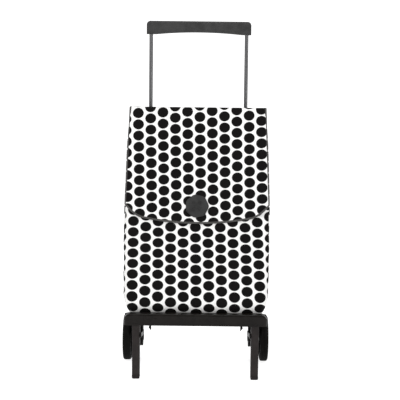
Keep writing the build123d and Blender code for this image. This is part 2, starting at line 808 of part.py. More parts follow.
def flap_front():
    """Hanging part of the flap: a trapezium with round corners and a curved lower edge."""
    line = [(flap_end_z - 4, 85 + flap_gap + 1)] + flap_line()
    line[-1] = (flap_fold_z + 0.2, line[-1][1] + 0.3)
    sheet = across_prism(band(moved(line, cloth), cloth), bag_reach)
    low_x, corner_z = flap_low_x, flap_corner_z
    side_end = corner_z + flap_corner
    bend = (low_x - flap_corner, corner_z - flap_corner)
    outline = Polyline((-low_x, side_end), (-flap_top_x, flap_top_z + 5), (flap_top_x, flap_top_z + 5),
                       (low_x, side_end))
    outline += ThreePointArc((low_x, side_end), (low_x - 3, corner_z), bend)
    outline += ThreePointArc(bend, (0, flap_end_z), (-bend[0], bend[1]))
    outline += ThreePointArc((-bend[0], bend[1]), (-low_x + 3, corner_z), (-low_x, side_end))
    window = extrude(Plane.XZ.offset(-beyond) * make_face(outline), 2 * beyond, dir=(0, -1, 0))
    return sheet & window


# ---- Closure button and magnets ----
def line_at(line, height):
    """Distance ahead of a line of (height, distance) at one height."""
    for (low, near), (high, far) in zip(line, line[1:]):
        if low <= height <= high:
            return near + (far - near) * (height - low) / (high - low)
    raise ValueError("the line doesn't reach this height")


def closure_place(offset):
    """Plane parallel to the flap under the closure button, this beyond outside the bag's front."""
    low = line_at(front_line, button_centre_z - 10)
    high = line_at(front_line, button_centre_z + 10)
    lean = math.atan2(low - high, 20)
    normal = Vector(0, -math.cos(lean), math.sin(lean))
    base = Vector(0, ahead(line_at(front_line, button_centre_z)), button_centre_z)
    return Plane(origin=base + normal * offset, x_dir=(1, 0, 0), z_dir=normal)


def closure_button():
    """Scalloped button with seven lobes, a raised rim and four plain round dimples."""
    outline = Sketch() + Circle(closure_radius - 3.2)
    reach = closure_radius - closure_lobe_radius
    for index in range(closure_lobes):
        angle = 2 * math.pi * index / closure_lobes + math.pi / 2
        outline += Pos(reach * math.cos(angle), reach * math.sin(angle)) * Circle(closure_lobe_radius)
    disc = extrude(outline, closure_thickness)
    disc = chamfer(disc.faces().sort_by(Axis.Z)[-1].edges(), 1.4)
    disc -= Pos(0, 0, closure_thickness) * Cylinder(closure_radius - 12, 1.6)
    for index in range(4):
        angle = math.pi / 4 + math.pi / 2 * index
        x, y = closure_dimple_ring * math.cos(angle), closure_dimple_ring * math.sin(angle)
        disc -= Pos(x, y, closure_thickness) * Cylinder(closure_dimple_radius, closure_dimple_radius)
    disc -= Cylinder(magnet_radius + clearance, 5.2)
    return closure_place(flap_gap + cloth + 0.4) * disc


def magnet(offset):
    """Round magnet at an offset from the bag's front."""
    seat = (Align.CENTER, Align.CENTER, Align.MIN)
    return closure_place(offset) * Cylinder(magnet_radius, magnet_thickness, align=seat)


def main():
    """Build and write every node."""
    os.makedirs("parts", exist_ok=True)
    write("handle_grip", handle_grip())
    write("grip_pins", both_sides([grip_pin()]))
    write_pair("inner_tube", inner_post())
    write("glide_plugs", both_sides([glide_plug()]))
    write_pair("outer_tube", outer_post())
    write("guide_bushes", both_sides([guide_bush()]))
    write_pair("tube_collar", collar())
    write_pair("lock_button", lock_button())
    write("lock_springs", both_sides([lock_spring()]))
    write("upper_brace", upper_brace())
    write("lower_brace", lower_brace())
    write("hanger_rod", hanger_rod())
    write("hanger_loops", hanger_loops())
    write_pair("wheel_bracket", wheel_bracket())
    write("post_rivets", both_sides(post_rivets(brace_rivet_heights, -brace_back)
                                    + post_rivets(socket_rivet_heights, -bracket_back)))
    write("rear_rest", rear_rest())
    write("rest_screws", both_sides(rest_screws()))
    write("tube_plugs", both_sides([tube_plug()]))
    write("stub_axles", both_sides([stub_axle()]))
    write("axle_washers", axle_washers())
    write("axle_clips", axle_clips())
    write_pair("tyre", tyre())
    write_pair("rim", rim())
    write_pair("wheel_bush", wheel_bush())
    write_pair("hub_cap", hub_cap())
    write("shelf_bar", shelf_bar())
    write_pair("shelf_arm", shelf_arm())
    write("shelf_tray", shelf_tray())
    write("shelf_screws", shelf_screws())
    write("bracket_pins", bracket_pins())
    write("leg_pins", both_sides([leg_pin()]))
    write_pair("leg", leg())
    write_pair("link_pin", link_pin())
    write_pair("foot_pad", foot_pad())
    write_pair("stay_link", stay_link())
    write("bag_front", bag_front())
    write("bag_back", bag_back_panel())
    write_pair("bag_side", bag_side())
    write("bag_base", bag_base())
    write("flap_top", flap_top())
    write("flap_front", flap_front())
    write("closure_button", closure_button())
    write("flap_magnet", magnet(flap_gap + cloth + 0.5))
    write("bag_magnet", magnet(-cloth - 2.6))


main()
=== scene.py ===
"""Looks of the folding shopping trolley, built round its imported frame.

The frame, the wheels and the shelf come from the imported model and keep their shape.  The cloth bag, its
flap, the tapes, the stitching, the closure button, the strap loops and the lock springs are worked out
here as surfaces, and every piece gets a procedural finish.  All lengths are metres in the frame's own
axes: +Z up, +X across, and the flap and the shelf towards -Y.
"""

import json
import logging
import math
from collections.abc import Callable
from dataclasses import dataclass, field
from enum import Enum, IntEnum

import bmesh
import bpy
import numpy as np
from mathutils import Matrix, Vector


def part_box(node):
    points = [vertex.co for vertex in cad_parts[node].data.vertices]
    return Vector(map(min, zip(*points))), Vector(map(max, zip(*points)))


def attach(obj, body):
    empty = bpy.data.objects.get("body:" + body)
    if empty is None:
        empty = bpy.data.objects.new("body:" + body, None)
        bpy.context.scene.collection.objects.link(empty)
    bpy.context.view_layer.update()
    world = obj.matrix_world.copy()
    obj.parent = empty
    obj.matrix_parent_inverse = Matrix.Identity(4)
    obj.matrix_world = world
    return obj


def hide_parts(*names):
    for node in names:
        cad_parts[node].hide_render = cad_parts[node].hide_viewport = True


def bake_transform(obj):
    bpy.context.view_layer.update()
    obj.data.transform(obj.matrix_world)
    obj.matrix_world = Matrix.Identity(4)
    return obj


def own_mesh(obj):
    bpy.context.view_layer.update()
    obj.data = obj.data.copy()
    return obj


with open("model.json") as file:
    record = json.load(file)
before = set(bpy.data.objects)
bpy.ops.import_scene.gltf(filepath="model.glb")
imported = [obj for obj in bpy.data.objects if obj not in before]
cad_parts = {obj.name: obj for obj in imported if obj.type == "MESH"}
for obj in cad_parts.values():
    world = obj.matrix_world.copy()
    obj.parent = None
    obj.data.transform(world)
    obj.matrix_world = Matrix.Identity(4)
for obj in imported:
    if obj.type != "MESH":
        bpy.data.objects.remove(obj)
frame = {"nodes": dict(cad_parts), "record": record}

LOG = logging.getLogger("trolley")
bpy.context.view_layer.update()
MM = 0.001
Array = np.ndarray
Colour = tuple[float, float, float]
Place = tuple[float, float, float]
SocketOrValue = bpy.types.NodeSocket | float | tuple | None
FORWARDS = np.array([0.0, -1.0, 0.0])
SAME_HEIGHT = 1e-4


# ---------------------------------------------------------------------------------------------------
# Numbers along a line
# ---------------------------------------------------------------------------------------------------
def ease(value: Array) -> Array:
    """Smooth step: 3t^2 - 2t^3, with t held between 0 and 1."""
    t = np.clip(value, 0.0, 1.0)
    return t * t * (3.0 - 2.0 * t)


def running_length(points: Array) -> Array:
    """Distance along a line of points.

    Args:
        points: Points in order, one per row.

    Returns:
        The sum of the straight steps up to each point, starting at 0.
    """
    steps = np.linalg.norm(np.diff(points, axis=0), axis=1)
    return np.concatenate([[0.0], np.cumsum(steps)])


def smooth_noise(u: Array, v: Array, seed: int) -> Array:
    """Value noise from -1 to 1: random values on a unit lattice, eased between the four nearest.

    Args:
        u: First coordinate, in lattice steps.
        v: Second coordinate, in lattice steps.
        seed: Seed of the lattice, so that each run gives the same cloth.

    Returns:
        The noise at each pair of coordinates.
    """
    size = 64
    lattice = np.random.default_rng(seed).uniform(-1.0, 1.0, (size, size))
    cell_u, cell_v = np.floor(u).astype(int), np.floor(v).astype(int)
    part_u, part_v = ease(u - cell_u), ease(v - cell_v)
    low_u, low_v = cell_u % size, cell_v % size
    high_u, high_v = (cell_u + 1) % size, (cell_v + 1) % size
    near = lattice[low_u, low_v] * (1 - part_v) + lattice[low_u, high_v] * part_v
    far = lattice[high_u, low_v] * (1 - part_v) + lattice[high_u, high_v] * part_v
    return near * (1 - part_u) + far * part_u


@dataclass
class Line:
    """A distance that changes with height, read from a CAD node and rounded where it bends."""

    heights: Array
    values: Array
    soften: float = 0.016
    step: float = 0.002

    def at(self, height: Array) -> Array:
        """The distance at each height.

        The straight pieces between the stations are averaged with a bell-shaped weight, so that each
        bend becomes a round stretch about as long as three times soften.

        Args:
            height: Heights in metres.

        Returns:
            The distance at each height.
        """
        low, high = self.heights[0], self.heights[-1]
        fine = np.arange(low, high + self.step / 2, self.step)
        straight = np.interp(fine, self.heights, self.values)
        reach = int(3 * self.soften / self.step)
        weight = np.exp(-0.5 * (np.arange(-reach, reach + 1) * self.step / self.soften) ** 2)
        before = 2 * straight[0] - straight[1:reach + 1][::-1]
        after = 2 * straight[-1] - straight[-reach - 1:-1][::-1]
        padded = np.concatenate([before, straight, after])
        rounded = np.convolve(padded, weight / weight.sum(), mode="valid")
        return np.interp(height, fine, rounded)


def corners_of_node(node: str) -> Array:
    """Every corner of a CAD node's mesh, one per row."""
    mesh = frame["nodes"][node].data
    corners = np.zeros(len(mesh.vertices) * 3)
    mesh.vertices.foreach_get("co", corners)
    return corners.reshape(-1, 3)


def line_of_node(node: str, axis: int, pick: Callable[[Array], float]) -> Line:
    """Outermost coordinate of a CAD node at each height where it has corners.

    Args:
        node: Name of the CAD node.
        axis: 0 for X or 1 for Y.
        pick: numpy's min or max.

    Returns:
        The line through those corners.
    """
    corners = corners_of_node(node)
    heights = np.unique(corners[:, 2].round(4))
    values = [pick(corners[np.abs(corners[:, 2] - height) < SAME_HEIGHT, axis]) for height in heights]
    return Line(heights, np.array(values))


# ---------------------------------------------------------------------------------------------------
# Meshes
# ---------------------------------------------------------------------------------------------------
def grid_faces(rows: int, columns: int, wrap: bool = False) -> Array:
    """Quads of a grid whose vertex number is row * columns + column.

    Args:
        rows: Rows of vertices.
        columns: Vertices in a row.
        wrap: True if the last column joins the first.

    Returns:
        Four vertex numbers per quad.
    """
    row = np.arange(rows - 1)[:, None]
    column = np.arange(columns if wrap else columns - 1)[None, :]
    after = (column + 1) % columns
    corners = [row * columns + column, row * columns + after,
               (row + 1) * columns + after, (row + 1) * columns + column]
    return np.stack(np.broadcast_arrays(*corners), axis=-1).reshape(-1, 4)


def mesh_object(name: str, points: Array, faces: list, corner_uv: Array | None = None,
                finish_number: Array | None = None) -> bpy.types.Object:
    """A smooth-shaded mesh object at the origin.

    Args:
        name: Name of the piece.
        points: Vertex positions, one per row.
        faces: Vertex numbers of each face.
        corner_uv: Position on the cloth of each face corner, in metres.
        finish_number: Number of the material of each face.

    Returns:
        The new object, linked to the scene.
    """
    mesh = bpy.data.meshes.new(name)
    mesh.from_pydata(points.tolist(), [], [list(map(int, face)) for face in faces])
    mesh.polygons.foreach_set("use_smooth", np.ones(len(mesh.polygons), bool))
    if corner_uv is not None:
        layer = mesh.uv_layers.new(name="UVMap")
        layer.data.foreach_set("uv", corner_uv.astype(np.float32).ravel())
    if finish_number is not None:
        mesh.polygons.foreach_set("material_index", finish_number.astype(np.int32))
    mesh.update()
    made = bpy.data.objects.new(name, mesh)
    bpy.context.scene.collection.objects.link(made)
    return made


def surface(name: str, points: Array, uv: Array | None = None, wrap: bool = False,
            turn: bool = False) -> bpy.types.Object:
    """A mesh from a grid of points.

    Args:
        name: Name of the piece.
        points: Rows by columns by 3.
        uv: Rows by columns by 2, in metres.
        wrap: True if each row is a closed ring.
        turn: True to face the other way.

    Returns:
        The new object.
    """
    rows, columns = points.shape[:2]
    faces = grid_faces(rows, columns, wrap)
    if turn:
        faces = faces[:, ::-1]
    corner_uv = None if uv is None else uv.reshape(-1, 2)[faces.ravel()]
    return mesh_object(name, points.reshape(-1, 3), faces, corner_uv)


def swept(name: str, path: Array, across: Array, outward: Array, profile: Array,
          closed: bool = False) -> bpy.types.Object:
    """A closed profile carried along a path: point = path + a * across + b * outward.

    Args:
        name: Name of the piece.
        path: Points of the path.
        across: Unit vector of the profile's first coordinate at each point.
        outward: Unit vector of its second coordinate.
        profile: Ring of (a, b) pairs.
        closed: True if the path ends where it starts.

    Returns:
        The new object, with capped ends if the path is open.
    """
    rings = (path[:, None, :] + profile[None, :, :1] * across[:, None, :]
             + profile[None, :, 1:] * outward[:, None, :])
    rows, columns = rings.shape[:2]
    ring_numbers = np.arange(columns)
    along = running_length(path)
    round_profile = running_length(np.vstack([profile, profile[:1]]))
    quads = grid_faces(rows, columns, wrap=True)
    if closed:
        last = (rows - 1) * columns
        joint = np.stack([last + ring_numbers, last + (ring_numbers + 1) % columns,
                          (ring_numbers + 1) % columns, ring_numbers], axis=-1)
        quads = np.vstack([quads, joint])
    u = np.tile(round_profile[:-1], rows)
    v = np.repeat(along, columns)
    corner_uv = np.stack([u, v], axis=-1)[quads.ravel()]
    faces = quads.tolist()
    if not closed:
        faces += [ring_numbers[::-1].tolist(), (ring_numbers + (rows - 1) * columns).tolist()]
        corner_uv = np.vstack([corner_uv, np.zeros((2 * columns, 2))])
    made = mesh_object(name, rings.reshape(-1, 3), faces, corner_uv)
    face_outwards(made)
    return made


def face_outwards(piece: bpy.types.Object) -> None:
    """Turn the faces of a closed mesh so that they point out of it."""
    work = bmesh.new()
    work.from_mesh(piece.data)
    bmesh.ops.recalc_face_normals(work, faces=work.faces)
    work.to_mesh(piece.data)
    work.free()


def scattered(name: str, shape: Array, shape_faces: Array, places: Array, axes: Array) -> bpy.types.Object:
    """Many copies of one small shape in one mesh: point = place + axes @ shape point.

    Args:
        name: Name of the piece.
        shape: Points of the shape round its own origin.
        shape_faces: Quads of the shape.
        places: Where each copy goes.
        axes: Three unit vectors per copy, as the rows of a 3 by 3 array.

    Returns:
        The new object.
    """
    points = places[:, None, :] + np.einsum("pi,kij->kpj", shape, axes)
    starts = np.arange(len(places))[:, None, None] * len(shape)
    faces = (shape_faces[None] + starts).reshape(-1, shape_faces.shape[1])
    return mesh_object(name, points.reshape(-1, 3), faces)


def capsule(length: float, radius: float, sides: int = 6) -> tuple[Array, Array]:
    """A short thread end to end along its first axis: rings of radius r * sqrt(1 - t^4), t from -1 to 1.

    Args:
        length: Length of the thread.
        radius: Radius of the thread.
        sides: Sides of each ring.

    Returns:
        Its points and its quads.
    """
    t = np.linspace(-1.0, 1.0, 5)
    ring = radius * np.sqrt(np.clip(1.0 - t ** 4, 0.02, 1.0))
    angle = np.arange(sides) * 2 * math.pi / sides
    x = np.repeat(t * length / 2, sides)
    y = (ring[:, None] * np.cos(angle)).ravel()
    z = (ring[:, None] * np.sin(angle)).ravel()
    return np.stack([x, y, z], axis=-1), grid_faces(len(t), sides, wrap=True)


def unit(vectors: Array) -> Array:
    """The vectors at length 1."""
    return vectors / np.maximum(np.linalg.norm(vectors, axis=-1, keepdims=True), 1e-12)


def solidify(piece: bpy.types.Object, thickness: float, offset: float, inside: int = 0) -> None:
    """Give a sheet its thickness.

    Args:
        piece: The sheet.
        thickness: Its thickness.
        offset: -1 to grow inwards, 1 to grow outwards.
        inside: Steps from a face's material number to that of its inner side.
    """
    wall = piece.modifiers.new("thickness", "SOLIDIFY")
    wall.thickness = thickness
    wall.offset = offset
    wall.use_rim = True
    wall.material_offset = inside


# ---------------------------------------------------------------------------------------------------
# Shader trees
# ---------------------------------------------------------------------------------------------------
class Tree:
    """Short ways to add and link nodes in one node tree."""

    def __init__(self, tree: bpy.types.NodeTree) -> None:
        """Keep the tree."""
        self.tree = tree

    def add(self, kind: str, **settings: object) -> bpy.types.Node:
        """Add a node and set its properties by name."""
        node = self.tree.nodes.new(kind)
        for key, value in settings.items():
            setattr(node, key, value)
        return node

    def link(self, source: bpy.types.NodeSocket, target: bpy.types.NodeSocket) -> None:
        """Link two sockets."""
        self.tree.links.new(source, target)

    def feed(self, socket: bpy.types.NodeSocket, value: SocketOrValue) -> None:
        """Link a socket to another, or give it a constant."""
        if isinstance(value, bpy.types.NodeSocket):
            self.link(value, socket)
        elif value is not None:
            socket.default_value = value

    def math(self, operation: str, first: SocketOrValue, second: SocketOrValue = None,
             clamp: bool = False) -> bpy.types.NodeSocket:
        """Math node; returns its output socket."""
        node = self.add("ShaderNodeMath", operation=operation, use_clamp=clamp)
        for socket, value in zip(node.inputs, (first, second)):
            self.feed(socket, value)
        return node.outputs[0]

    def blend(self, factor: SocketOrValue, first: SocketOrValue,
              second: SocketOrValue) -> bpy.types.NodeSocket:
        """Mix two colours; returns the colour socket."""
        node = self.add("ShaderNodeMix", data_type="RGBA")
        self.feed(node.inputs["Factor"], factor)
        for socket, value in ((node.inputs[6], first), (node.inputs[7], second)):
            self.feed(socket, value if isinstance(value, bpy.types.NodeSocket) else (*value, 1.0))
        return node.outputs[2]

    def span(self, value: bpy.types.NodeSocket, low: float, high: float, to_low: float,
             to_high: float) -> bpy.types.NodeSocket:
        """Map a range to another with an ease; returns the value socket."""
        node = self.add("ShaderNodeMapRange", interpolation_type="SMOOTHSTEP")
        self.feed(node.inputs["Value"], value)
        limits = {"From Min": low, "From Max": high, "To Min": to_low, "To Max": to_high}
        for name, number in limits.items():
            node.inputs[name].default_value = number
        return node.outputs["Result"]

    def noise(self, vector: bpy.types.NodeSocket, scale: float, detail: float = 2.0,
              roughness: float = 0.5) -> bpy.types.NodeSocket:
        """Noise texture; returns its value socket."""
        node = self.add("ShaderNodeTexNoise")
        self.feed(node.inputs["Vector"], vector)
        node.inputs["Scale"].default_value = scale
        node.inputs["Detail"].default_value = detail
        node.inputs["Roughness"].default_value = roughness
        return node.outputs[0]

    def stretched(self, vector: bpy.types.NodeSocket, scale: Place) -> bpy.types.NodeSocket:
        """Mapping node that stretches a pattern; returns the vector socket."""
        node = self.add("ShaderNodeMapping")
        self.feed(node.inputs["Vector"], vector)
        node.inputs["Scale"].default_value = scale
        return node.outputs[0]

    def group(self, group: bpy.types.NodeTree, **values: SocketOrValue) -> bpy.types.Node:
        """Place a node group and set its inputs; underscores in a name stand for spaces."""
        node = self.add("ShaderNodeGroup", node_tree=group)
        for key, value in values.items():
            self.feed(node.inputs[key.replace("_", " ")], value)
        return node


@dataclass(frozen=True)
class Socket:
    """A named input or output of a node group."""

    name: str
    kind: str = "NodeSocketFloat"
    default: float | None = None


def new_group(name: str, inputs: list[Socket],
              outputs: list[Socket]) -> tuple[Tree, bpy.types.Node, bpy.types.Node]:
    """An empty node group with named sockets.

    Args:
        name: Name of the group.
        inputs: Its inputs.
        outputs: Its outputs.

    Returns:
        The tree helper, the node that gives the inputs and the node that takes the outputs.
    """
    group = bpy.data.node_groups.new(name, "ShaderNodeTree")
    for sockets, way in ((inputs, "INPUT"), (outputs, "OUTPUT")):
        for socket in sockets:
            made = group.interface.new_socket(name=socket.name, in_out=way, socket_type=socket.kind)
            if socket.default is not None:
                made.default_value = socket.default
    tree = Tree(group)
    return tree, tree.add("NodeGroupInput"), tree.add("NodeGroupOutput")


class Effects:
    """The node groups that several finishes share, each built once."""

    def __init__(self) -> None:
        """Build every group."""
        self.grain = self.build_grain()
        self.scuffs = self.build_scuffs()
        self.weave = self.build_weave()
        self.dots = self.build_dots()
        self.streaks = self.build_streaks()
        self.dust = self.build_dust()

    @staticmethod
    def build_grain() -> bpy.types.NodeTree:
        """Moulded grain: cells of two sizes for the height, and a slow mottle for colour and gloss."""
        tree, given, result = new_group(
            "moulded_grain",
            [Socket("Vector", "NodeSocketVector"), Socket("Scale", default=1400.0)],
            [Socket("Height"), Socket("Mottle")])
        cells = tree.add("ShaderNodeTexVoronoi", feature="SMOOTH_F1")
        tree.link(given.outputs["Vector"], cells.inputs["Vector"])
        tree.link(given.outputs["Scale"], cells.inputs["Scale"])
        fine = tree.noise(given.outputs["Vector"], 2600.0, 2.0)
        height = tree.math("ADD", cells.outputs["Distance"], tree.math("MULTIPLY", fine, 0.5))
        tree.link(height, result.inputs["Height"])
        tree.link(tree.noise(given.outputs["Vector"], 38.0, 3.0, 0.6), result.inputs["Mottle"])
        return tree.tree

    @staticmethod
    def build_scuffs() -> bpy.types.NodeTree:
        """Light rubbed marks: long thin noise where a second, wide noise is high."""
        tree, given, result = new_group(
            "scuffs",
            [Socket("Vector", "NodeSocketVector"), Socket("Amount", default=0.5)],
            [Socket("Mask")])
        lines = tree.noise(tree.stretched(given.outputs["Vector"], (900.0, 900.0, 90.0)), 1.0, 3.0)
        places = tree.noise(given.outputs["Vector"], 23.0, 2.0)
        rubbed = tree.span(lines, 0.58, 0.75, 0.0, 1.0)
        mask = tree.math("MULTIPLY", rubbed, tree.span(places, 0.5, 0.68, 0.0, 1.0))
        tree.link(tree.math("MULTIPLY", mask, given.outputs["Amount"]), result.inputs["Mask"])
        return tree.tree

    @staticmethod
    def build_weave() -> bpy.types.NodeTree:
        """Plain weave from the cloth's own coordinates: warp and weft threads pass over each other in turn.

        The warp shows where sin(u) * sin(v) of the thread angles is positive, the weft elsewhere, and each
        thread is round across its width.
        """
        tree, given, result = new_group(
            "plain_weave",
            [Socket("Cloth", "NodeSocketVector"), Socket("Thread", default=0.0006)],
            [Socket("Height"), Socket("Shade")])
        split = tree.add("ShaderNodeSeparateXYZ")
        tree.link(given.outputs["Cloth"], split.inputs[0])
        turns = [tree.math("DIVIDE", split.outputs[i], given.outputs["Thread"]) for i in (0, 1)]
        angles = [tree.math("MULTIPLY", turn, math.pi) for turn in turns]
        waves = [tree.math("SINE", angle) for angle in angles]
        round_warp, round_weft = (tree.math("ABSOLUTE", wave) for wave in waves)
        checker = tree.span(tree.math("MULTIPLY", waves[0], waves[1]), -0.15, 0.15, 0.0, 1.0)
        over = tree.math("MULTIPLY", round_warp, checker)
        under = tree.math("MULTIPLY", round_weft, tree.math("SUBTRACT", 1.0, checker))
        tree.link(tree.math("ADD", over, under), result.inputs["Height"])
        slubs = tree.noise(tree.stretched(given.outputs["Cloth"], (420.0, 3000.0, 1.0)), 1.0, 2.0)
        cross = tree.noise(tree.stretched(given.outputs["Cloth"], (3000.0, 420.0, 1.0)), 1.0, 2.0)
        tree.link(tree.math("MULTIPLY", tree.math("ADD", slubs, cross), 0.5), result.inputs["Shade"])
        return tree.tree

    @staticmethod
    def build_dots() -> bpy.types.NodeTree:
        """Half-drop print of oval dots from the cloth's own coordinates.

        The cloth is cut into columns, and every other column drops by half a pitch.  A dot is where
        (x / half width)^2 + (y / half height)^2 is under 1, with a slightly ragged rim.
        """
        tree, given, result = new_group(
            "dot_print",
            [Socket("Cloth", "NodeSocketVector"), Socket("Column Pitch", default=0.0341),
             Socket("Row Pitch", default=0.0308), Socket("Dot Width", default=0.0304),
             Socket("Dot Height", default=0.0278)],
            [Socket("Dot")])
        split = tree.add("ShaderNodeSeparateXYZ")
        tree.link(given.outputs["Cloth"], split.inputs[0])
        across = tree.math("DIVIDE", split.outputs[0], given.outputs["Column Pitch"])
        column = tree.math("FLOOR", tree.math("ADD", across, 0.5))
        drop = tree.math("MULTIPLY", tree.math("FLOORED_MODULO", column, 2.0), 0.5)
        x = tree.math("MULTIPLY", tree.math("SUBTRACT", across, column), given.outputs["Column Pitch"])
        along = tree.math("ADD", tree.math("DIVIDE", split.outputs[1], given.outputs["Row Pitch"]), drop)
        row = tree.math("FLOOR", tree.math("ADD", along, 0.5))
        y = tree.math("MULTIPLY", tree.math("SUBTRACT", along, row), given.outputs["Row Pitch"])
        ratio_x = tree.math("DIVIDE", tree.math("MULTIPLY", x, 2.0), given.outputs["Dot Width"])
        ratio_y = tree.math("DIVIDE", tree.math("MULTIPLY", y, 2.0), given.outputs["Dot Height"])
        square_x, square_y = (tree.math("POWER", tree.math("ABSOLUTE", ratio), 2.0)
                              for ratio in (ratio_x, ratio_y))
        far = tree.math("SQRT", tree.math("ADD", square_x, square_y))
        rim = tree.math("SUBTRACT", tree.noise(given.outputs["Cloth"], 1500.0, 2.0), 0.5)
        ragged = tree.math("MULTIPLY", rim, 0.05)
        tree.link(tree.span(tree.math("ADD", far, ragged), 0.975, 1.02, 1.0, 0.0), result.inputs["Dot"])
        return tree.tree

    @staticmethod
    def build_streaks() -> bpy.types.NodeTree:
        """Drawing marks along Z: noise that is very long in Z, fine and coarse."""
        tree, given, result = new_group(
            "drawn_streaks", [Socket("Vector", "NodeSocketVector")], [Socket("Streak"), Socket("Band")])
        fine = tree.noise(tree.stretched(given.outputs["Vector"], (2600.0, 2600.0, 9.0)), 1.0, 3.0)
        broad = tree.noise(tree.stretched(given.outputs["Vector"], (420.0, 420.0, 2.5)), 1.0, 2.0)
        tree.link(fine, result.inputs["Streak"])
        tree.link(broad, result.inputs["Band"])
        return tree.tree

    @staticmethod
    def build_dust() -> bpy.types.NodeTree:
        """Fine dust: thicker on faces that look up, broken up by noise."""
        tree, given, result = new_group(
            "dust", [Socket("Vector", "NodeSocketVector"), Socket("Amount", default=0.1)], [Socket("Mask")])
        facing = tree.add("ShaderNodeSeparateXYZ")
        tree.link(tree.add("ShaderNodeNewGeometry").outputs["Normal"], facing.inputs[0])
        up = tree.span(facing.outputs[2], -0.2, 1.0, 0.25, 1.0)
        patches = tree.span(tree.noise(given.outputs["Vector"], 60.0, 5.0, 0.65), 0.35, 0.75, 0.1, 1.0)
        tree.link(tree.math("MULTIPLY", tree.math("MULTIPLY", up, patches), given.outputs["Amount"]),
                  result.inputs["Mask"])
        return tree.tree


def new_finish(name: str) -> tuple[bpy.types.Material, Tree, bpy.types.Node]:
    """An empty material.

    Args:
        name: Name of the material.

    Returns:
        The material, its tree helper and its Principled shader.
    """
    made = bpy.data.materials.new(name)
    made.use_nodes = True
    tree = Tree(made.node_tree)
    return made, tree, made.node_tree.nodes["Principled BSDF"]


def bump(tree: Tree, shader: bpy.types.Node, height: bpy.types.NodeSocket, strength: float,
         distance: float) -> None:
    """Feed a height to the shader's normal through a Bump node."""
    node = tree.add("ShaderNodeBump")
    node.inputs["Strength"].default_value = strength
    node.inputs["Distance"].default_value = distance
    tree.link(height, node.inputs["Height"])
    tree.link(node.outputs["Normal"], shader.inputs["Normal"])


def grey(value: float) -> Colour:
    """A neutral colour."""
    return (value, value, value)


# ---------------------------------------------------------------------------------------------------
# Finishes
# ---------------------------------------------------------------------------------------------------
@dataclass(frozen=True)
class MouldedPlastic:
    """Moulded plastic or rubber: fine grain, slow mottle, light scuffs and a little dust."""

    name: str
    colour: Colour
    roughness: float
    grain: float = 0.15
    grain_scale: float = 1400.0
    scuff: float = 0.35
    dust: float = 0.02
    specular: float = 0.35
    coat: float = 0.0

    def make(self, effects: Effects) -> bpy.types.Material:
        """Build the material.

        Args:
            effects: The shared node groups.

        Returns:
            The material.
        """
        made, tree, shader = new_finish(self.name)
        place = tree.add("ShaderNodeTexCoord").outputs["Object"]
        grain = tree.group(effects.grain, Vector=place, Scale=self.grain_scale)
        scuffs = tree.group(effects.scuffs, Vector=place, Amount=self.scuff)
        dust = tree.group(effects.dust, Vector=place, Amount=self.dust)
        darker = tuple(0.78 * part for part in self.colour)
        lighter = tuple(1.16 * part + 0.001 for part in self.colour)
        base = tree.blend(tree.span(grain.outputs["Mottle"], 0.3, 0.7, 0.0, 1.0), darker, lighter)
        rubbed = tree.blend(scuffs.outputs["Mask"], base, tuple(2.2 * part + 0.012 for part in self.colour))
        tree.link(tree.blend(dust.outputs["Mask"], rubbed, (0.34, 0.32, 0.30)), shader.inputs["Base Color"])
        gloss = tree.span(grain.outputs["Mottle"], 0.3, 0.7, self.roughness - 0.05, self.roughness + 0.06)
        worn = tree.math("ADD", gloss, tree.math("MULTIPLY", scuffs.outputs["Mask"], 0.2))
        tree.link(tree.math("ADD", worn, dust.outputs["Mask"], clamp=True), shader.inputs["Roughness"])
        shader.inputs["Specular IOR Level"].default_value = self.specular
        shader.inputs["Coat Weight"].default_value = self.coat
        shader.inputs["Coat Roughness"].default_value = 0.18
        bump(tree, shader, grain.outputs["Height"], self.grain, 0.0002)
        return made


@dataclass(frozen=True)
class DrawnMetal:
    """Drawn tube, plated steel or painted metal, with fine marks along Z."""

    name: str
    colour: Colour
    roughness: float
    metallic: float = 1.0
    streak: float = 0.12
    scuff: float = 0.25
    specular: float = 0.2
    tint: Colour = (0.35, 0.35, 0.36)

    def make(self, effects: Effects) -> bpy.types.Material:
        """Build the material.

        Args:
            effects: The shared node groups.

        Returns:
            The material.
        """
        made, tree, shader = new_finish(self.name)
        place = tree.add("ShaderNodeTexCoord").outputs["Object"]
        streaks = tree.group(effects.streaks, Vector=place)
        scuffs = tree.group(effects.scuffs, Vector=place, Amount=self.scuff)
        darker = tuple((1.0 - 2 * self.streak) * part for part in self.colour)
        lighter = tuple((1.0 + self.streak) * part for part in self.colour)
        summed = tree.math("ADD", streaks.outputs["Streak"], streaks.outputs["Band"])
        both = tree.math("MULTIPLY", summed, 0.5)
        base = tree.blend(tree.span(both, 0.32, 0.68, 0.0, 1.0), darker, lighter)
        rubbed = tree.blend(scuffs.outputs["Mask"], base, tuple(min(1.0, 1.5 * part) for part in self.colour))
        tree.link(rubbed, shader.inputs["Base Color"])
        rough = tree.span(streaks.outputs["Streak"], 0.3, 0.7, self.roughness - 0.06, self.roughness + 0.08)
        tree.link(tree.math("ADD", rough, tree.math("MULTIPLY", scuffs.outputs["Mask"], 0.15)),
                  shader.inputs["Roughness"])
        shader.inputs["Metallic"].default_value = self.metallic
        shader.inputs["Specular IOR Level"].default_value = self.specular
        shader.inputs["Specular Tint"].default_value = (*self.tint, 1.0)
        bump(tree, shader, streaks.outputs["Streak"], 0.12, 0.0001)
        return made


